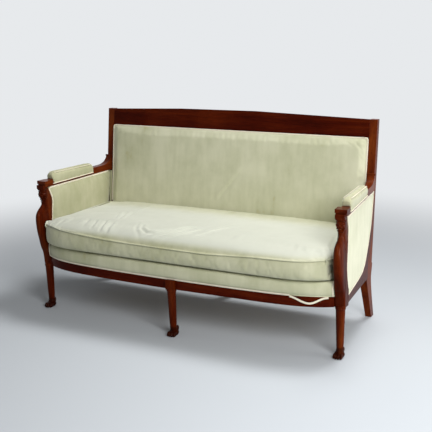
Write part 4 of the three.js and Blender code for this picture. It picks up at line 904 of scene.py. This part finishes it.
creases = [
    # points of a fold (x, y from the posts), depth, width
    ([(-0.432, 0.040), (-0.412, -0.020), (-0.392, -0.082)], 0.0066, 0.0100),
    ([(-0.482, 0.030), (-0.464, -0.022), (-0.446, -0.072)], 0.0044, 0.0095),
    ([(-0.380, 0.030), (-0.368, -0.025), (-0.348, -0.088)], 0.0050, 0.0105),
    ([(-0.530, 0.040), (-0.515, -0.012), (-0.500, -0.062)], 0.0028, 0.0110),
    ([(-0.440, 0.240), (-0.412, 0.160), (-0.380, 0.070)], 0.0042, 0.0100),
    ([(-0.470, 0.215), (-0.440, 0.140), (-0.410, 0.070)], 0.0030, 0.0095),
    ([(-0.398, 0.390), (-0.402, 0.280), (-0.388, 0.180), (-0.365, 0.090)], 0.0030, 0.0120),
    ([(-0.225, 0.050), (-0.200, -0.012), (-0.150, -0.050), (-0.090, -0.046)], 0.0058, 0.0110),
    ([(-0.255, 0.070), (-0.235, 0.005), (-0.205, -0.045), (-0.165, -0.082)], 0.0036, 0.0110),
    ([(-0.150, -0.078), (-0.100, -0.034), (-0.058, -0.002), (-0.016, 0.045), (0.030, 0.104)],
     0.0060, 0.0100),
    ([(-0.100, -0.078), (-0.052, -0.040), (-0.012, -0.010), (0.052, 0.094)], 0.0054, 0.0100),
    ([(-0.050, -0.078), (0.003, -0.042), (0.043, 0.000), (0.095, 0.078)], 0.0046, 0.0105),
    ([(0.085, -0.045), (0.130, 0.022), (0.155, 0.088), (0.196, 0.180)], 0.0034, 0.0120),
]


def fold_height(creases, x, y):
    """How far the folds lift or sink a place: a hollow with a ridge along one side."""
    height = 0.0
    for points, depth, width in creases:
        best, signed, share = 1.0, 0.0, 0.0
        for step, ((x0, y0), (x1, y1)) in enumerate(zip(points, points[1:])):
            length = math.hypot(x1 - x0, y1 - y0)
            along = clamped(((x - x0) * (x1 - x0) + (y - y0) * (y1 - y0)) / length ** 2)
            off_x, off_y = x - x0 - along * (x1 - x0), y - y0 - along * (y1 - y0)
            gap = math.hypot(off_x, off_y)
            if gap < best:
                side = (x1 - x0) * off_y - (y1 - y0) * off_x
                best, signed = gap, math.copysign(gap, side)
                share = (step + along) / (len(points) - 1)
        if best < 4 * width:
            fade = math.sin(math.pi * clamped(share)) ** 0.6
            height += depth * fade * (0.75 * math.exp(-((signed - 1.1 * width) / width) ** 2)
                                      - math.exp(-((signed + 0.3 * width) / (0.8 * width)) ** 2))
    return height


cushion_creased = bmesh.new()
cushion_creased.from_mesh(cushion_mesh)
cushion_creased.normal_update()
for vert in cushion_creased.verts:
    x, y, z = vert.co.x, vert.co.y - front_of_posts, vert.co.z
    piping = piping_at(x)
    lift = 0.0
    if z > piping + 0.004 and y < 0.46:
        lift = fold_height(creases, x, y) * min(1, (z - piping) / 0.02)
        lift += (0.0024 * noise.noise(Vector((x * 7, y * 7, 1.0)))
                 + 0.0012 * noise.noise(Vector((x * 22, y * 16, 5.0))))
    elif 0.358 < z < piping - 0.006 and y < 0.02:
        fold = min(1, (piping - 0.006 - z) / 0.012, (z - 0.358) / 0.012)
        lift = 0.0034 * fold * noise.noise(Vector((x * 9, 2.0, z * 6)))
        lift += 0.0022 * fold * noise.noise(Vector((x * 24, 8.0, z * 14)))
    vert.co += vert.normal * lift
cushion_creased.to_mesh(cushion_mesh)
cushion_creased.free()
cushion_mesh.shade_smooth()
seat_cushion = show(
    "seat_cushion_cover", cushion_mesh, seat_velvet_shade_top_light, "seat_cushion", "cushion")

piping_route = []
for share in even(-0.985, 0.985, 140):
    front, piping = cushion_edge(share)[:2]
    half = cushion_half - 0.007 - drawn_in(share, front)
    piping_route.append(placed(share * half, front - 0.0016, piping + 0.0004))
for side in (1, -1):
    depths = even(-0.026, 0.470, 34)
    corner = cushion_edge(side)[1]
    for y in (depths if side > 0 else reversed(depths)):
        half = cushion_reach(side, y, True) - 0.0010
        piping_route.append(placed(side * half, y, corner + (0.468 - corner) * max(0, y) / 0.470))
    if side > 0:
        piping_route += [placed(x, 0.4845, 0.466) for x in even(0.70, -0.70, 40)]
outward = [Vector((point.x * 0.9, point.y, 0)).normalized() for point in piping_route]
cushion_piping = swept_strip("seat_cushion_piping", piping_route, outward, 0.0056, 0.0056)
show("seat_cushion_piping", cushion_piping, seat_velvet_shade_top_light, body="cushion")


# Padded back
# Hair stuffing under velvet, stretched over upright webs between the stiles, the crest rail and a
# lower rail behind the seat. A piped edge covers the tacks next to the polished wood.

back_rake = math.atan(0.11)
in_back = Matrix.Translation(placed(0, 0.504, 0.456)) @ Matrix.Rotation(-back_rake, 4, "X")
pad_low, pad_high, pad_half, pad_back = -0.0554, 0.4312, 0.7194, 0.0105


def swell(from_edge, reach):
    """How full the stuffing stands at a distance from the sewn edge, from 0 to 1."""
    return 1 - (1 - clamped(from_edge / reach)) ** 2.4


pad_rings = []
for share in [math.sin(math.pi / 2 * step) * 0.35 + step * 0.65 for step in even(-1, 1, 150)]:
    side = swell((1 - abs(share)) * pad_half, 0.045)
    ring = []
    for step in even(0, 1, 61):
        level = 0.5 - 0.5 * (math.cos(math.pi * step) * 0.45 + (1 - 2 * step) * 0.55)
        height = pad_low + (pad_high - pad_low) * level
        full = side * swell(pad_high - height, 0.034) * swell(height - pad_low, 0.05)
        ring.append(in_back @ Vector((pad_half * share, -0.0018 - 0.0160 * full, height)))
    behind = [(0.001, pad_high), (pad_back, pad_high)] + [(pad_back, z) for z in even(0.38, -0.01, 7)]
    behind += [(pad_back, pad_low), (0.001, pad_low)]
    ring += [in_back @ Vector((pad_half * share, y, z)) for y, z in behind]
    while len(ring) % 4:
        ring.insert(-2, (ring[-2] + ring[-3]) / 2)
    pad_rings.append(ring)
pad_bm = wrapped(pad_rings)
back_undo = in_back.inverted()


def sewn_back(place):
    """Where the back's cover doesn't move: its border and all that lies behind."""
    local = back_undo @ place
    border = max(abs(local.x) - 0.708, local.z - (pad_high - 0.010), pad_low + 0.006 - local.z)
    return border > 0 or local.y > -0.0012


back_mesh = puffed(pad_bm, "back_pad_cover", sewn_back, cap=0.004, slack=0.01)
back_crease = [([(-0.066, 0.055), (-0.044, 0.093), (0.0, 0.148), (0.043, 0.203), (0.084, 0.251)],
                0.0026, 0.0110)]
back_creased = bmesh.new()
back_creased.from_mesh(back_mesh)
for vert in back_creased.verts:
    local = back_undo @ vert.co
    if local.y < -0.006:
        local.y -= fold_height(back_crease, local.x, local.z)
        vert.co = in_back @ local
back_creased.to_mesh(back_mesh)
back_creased.free()
back_mesh.shade_smooth()
back_pad = show("back_pad_cover", back_mesh, velvet, "back_pad")


def edging(name, route, facing, width, thickness, local=Matrix.Identity(4)):
    """A run of gimp or piping laid along a route given in the frame of its panel."""
    turn = local.to_3x3()
    if isinstance(facing, list):
        faced = [(turn @ way).normalized() for way in facing]
    else:
        faced = (turn @ facing).normalized()
    strip = swept_strip(name, [local @ point for point in route], faced, width, thickness)
    show(name, strip, gimp_finish)


def softened(points, radius, steps=6):
    """A route through corners, each turned with a small radius."""
    route = [points[0]]
    for before, corner, after in zip(points, points[1:], points[2:]):
        start = corner + (before - corner).normalized() * radius
        end = corner + (after - corner).normalized() * radius
        for share in even(0, 1, steps):
            route.append(start.lerp(corner, share).lerp(corner.lerp(end, share), share))
    return route + [points[-1]]


edge_x, edge_top, edge_low = 0.7162, 0.4282, 0.015
back_edge = softened([Vector((x, -0.0044, z)) for x, z in [
    (-edge_x, edge_low), (-edge_x, edge_top), (edge_x, edge_top), (edge_x, edge_low)]], 0.010)
edging("back_pad_piping", back_edge, Vector((0, -1, 0)), 0.0078, 0.0062, local=in_back)


# Arm upholstery
# Each arm is closed: padded and covered inside, lined with a stretched panel outside, with a
# stuffed rest on top of its rail. Gimp hides the tacks along every edge that meets wood.

arm_turn = math.atan(arm_splay)
in_arm = Matrix.Translation(placed(post_outer, 0, 0)) @ Matrix.Rotation(arm_turn, 4, "Z")
arm_undo = in_arm.inverted()
mirror = Matrix.Scale(-1, 4, (1, 0, 0))


def stuffed_copy(node, name, grain, held, cap):
    """A soft solid laid out again as an even skin, relaxed and stuffed."""
    even_mesh = carved(merged_copy(node, 1), name, grain)
    bm = bmesh.new()
    bm.from_mesh(even_mesh)
    for turn in range(3):
        smoothed(bm)
    bm.verts.index_update()
    return puffed(bm, name, held, cap, 0.01)


def arm_top(y):
    """The height at which the arm's inner cover meets its rail, rising to the back."""
    return 0.6276 + 0.024 * y


def sewn_inner(place):
    """Where the inner cover doesn't move: behind its face and along its top and foot."""
    local = arm_undo @ place
    return local.x > -0.0335 or local.z > arm_top(local.y) - 0.010 or local.z < 0.315


def sewn_rest(place):
    """Where the rest's cover doesn't move: low down, at the rail."""
    local = arm_undo @ place
    return local.z < arm_top(local.y) + 0.016


inner_mesh = stuffed_copy("arm_inner_pad_right", "arm_inner_cover_right", 0.0058, sewn_inner, 0.004)
rest_mesh = stuffed_copy("arm_pad_right", "arm_rest_cover_right", 0.0022, sewn_rest, 0.002)
for hand, side in [("right", 1), ("left", -1)]:
    arm = in_arm if side > 0 else mirror @ in_arm
    for mesh, stem, node, firmness in [(inner_mesh, "arm_inner_cover", "arm_inner_pad", 0.85),
                                       (rest_mesh, "arm_rest_cover", "arm_pad", 0.9)]:
        name = f"{stem}_{hand}"
        handed = mesh if side > 0 else mirrored(mesh, name)
        pad = show(name, handed, arm_velvet_soiled_shaded, f"{node}_{hand}")
    panel_mesh = crisp_copy(f"arm_outer_panel_{hand}", f"arm_outer_cover_{hand}")
    panel = show(f"arm_outer_cover_{hand}", panel_mesh, velvet, f"arm_outer_panel_{hand}")
    ease_arrises(panel, 0.0012, 40)

    inner_edge = [Vector((-0.0345, smooth_curve(console_back, z) + 0.0085, z))
                  for z in even(0.312, 0.6185, 30)]
    inner_edge += [Vector((-0.0345, y, arm_top(y) - 0.0058)) for y in even(0.045, 0.492, 30)]
    edging(f"arm_inner_gimp_{hand}", softened(inner_edge, 0.0035, 3), Vector((-1, 0, 0)), 0.008, 0.0024,
           local=arm)

    rest_edge = [Vector((0.0018, y, arm_top(y) + 0.0105)) for y in even(0.366, 0.060, 16)]
    rest_edge += [Vector((-0.0398, y, arm_top(y) + 0.0105)) for y in even(0.060, 0.366, 16)]
    rest_route = softened(rest_edge, 0.003, 3)
    rest_facing = [Vector((1 if point.x > -0.0189 else -1, 0, 0)) for point in rest_route]
    edging(f"arm_rest_piping_{hand}", rest_route, rest_facing, 0.0050, 0.0040, local=arm)

    inner_end = [in_back @ Vector((side * 0.7308, -0.0046, z)) for z in even(-0.09, 0.178, 24)]
    fold_facing = in_back.to_3x3() @ Vector((0, -1, 0))
    fold_mesh = swept_strip(f"arm_inner_end_{hand}", inner_end, fold_facing, 0.0142, 0.0062)
    show(f"arm_inner_end_{hand}", fold_mesh, arm_velvet_soiled_shaded)
    for face, way in [("outer", 1), ("inner", -1)]:
        seam = []
        for share in even(0, 1, 16):
            y = 0.072 + 0.286 * share
            seam.append(Vector((-0.0190 + way * 0.0172, y, arm_top(y) + 0.0648 - 0.0089 * share)))
        edging(f"arm_rest_edge_{face}_{hand}", seam, Vector((way * 0.7, 0, 0.7)), 0.0032, 0.0026, local=arm)


def rim(bm, way, reach):
    """The outline of the flat side of a panel that faces a way, in order, drawn in a little."""
    faces = [face for face in bm.faces if face.normal.dot(way) > 0.98]
    inside = set(faces)
    border = [edge for edge in bm.edges if sum(face in inside for face in edge.link_faces) == 1]
    ordered = [border[0].verts[0], border[0].verts[1]]
    used = {border[0]}
    while True:
        onward = [edge for edge in border if edge not in used and ordered[-1] in edge.verts]
        if not onward:
            break
        used.add(onward[0])
        ordered.append(onward[0].other_vert(ordered[-1]))
    points = [vert.co.copy() for vert in ordered[:-1]]
    kept = []
    for point in points:
        if not kept or (point - kept[-1]).length > 0.004:
            kept.append(point)
    middle = sum(kept, Vector()) / len(kept)
    drawn = []
    for step, point in enumerate(kept):
        along = (kept[(step + 1) % len(kept)] - kept[step - 1]).normalized()
        inward = way.cross(along).normalized()
        if inward.dot(middle - point) < 0:
            inward = -inward
        drawn.append(point + inward * reach + way * 0.0008)
    return drawn


for hand, side in [("right", 1), ("left", -1)]:
    way = Matrix.Rotation(arm_turn, 3, "Z") @ Vector((1, 0, 0))
    way.x *= side
    outline = rim(merged_copy(f"arm_outer_panel_{hand}", 1), way, 0.0045)
    edging(f"arm_outer_gimp_{hand}", outline + outline[:2], way, 0.008, 0.0022)
way = Matrix.Rotation(-back_rake, 3, "X") @ Vector((0, 1, 0))
panel_mesh = crisp_copy("back_outer_panel", "back_outer_cover")
show("back_outer_cover", panel_mesh, velvet, "back_outer_panel")
outline = rim(merged_copy("back_outer_panel", 1), way, 0.005)
edging("back_outer_gimp", softened(outline + outline[:2], 0.004, 4), way, 0.008, 0.0022)


# Gimp along the front of the deck
# The same braid, glued over the tacks where the cover of the roll meets the show edge of the
# rail. It stops where the loose length begins.

deck_route = [placed(x, front_line(x) - 0.0020, 0.2768) for x in even(-0.7565, 0.578, 130)]
edging("deck_front_gimp", deck_route, Vector((0, -1, -0.2)), 0.008, 0.0024)
for hand, side in [("left", -1), ("right", 1)]:
    end_route = []
    for z in even(0.2775, 0.346, 14):
        bulge = 0.0085 * math.sin(math.pi * clamped((z - 0.275) / 0.075)) ** 0.6
        end_route.append(placed(side * 0.7560, front_line(0.7560) - 0.0035 - bulge, z))
    edging(f"deck_end_gimp_{hand}", end_route, Vector((side * 0.25, -1, 0)), 0.006, 0.0022)


# Webbing and hessian
# Straps of woven jute, strained and tacked to the rails: ten cross each other under the seat and
# five stand behind the back. A sheet of hessian lies over those of the seat.


def jute(name, dark, light, scale):
    """Coarse jute: darker and lighter threads in a plain weave."""
    material, shader, add, fill = blank_finish(name, {"Roughness": 0.95})
    place = add("ShaderNodeTexCoord", {}).outputs["Object"]
    weave = add("ShaderNodeTexChecker", {"Vector": place, "Scale": scale, "Color1": (*dark, 1),
                                         "Color2": (*light, 1)}).outputs
    relief = add("ShaderNodeBump", {"Height": weave["Fac"], "Strength": 0.5, "Distance": 0.0006})
    fill(shader, {"Base Color": weave["Color"], "Normal": relief.outputs["Normal"]})
    return material


web_finish = jute("jute_webbing", (0.30, 0.21, 0.11), (0.42, 0.31, 0.17), 420)
hessian_finish = jute("jute_hessian", (0.24, 0.18, 0.10), (0.38, 0.30, 0.18), 640)
for stem, straps in [("back_web", 5), ("seat_web_cross", 7), ("seat_web_long", 3)]:
    for order in range(1, straps + 1):
        finish_node(f"{stem}_{order}", web_finish)
finish_node("seat_hessian", hessian_finish)
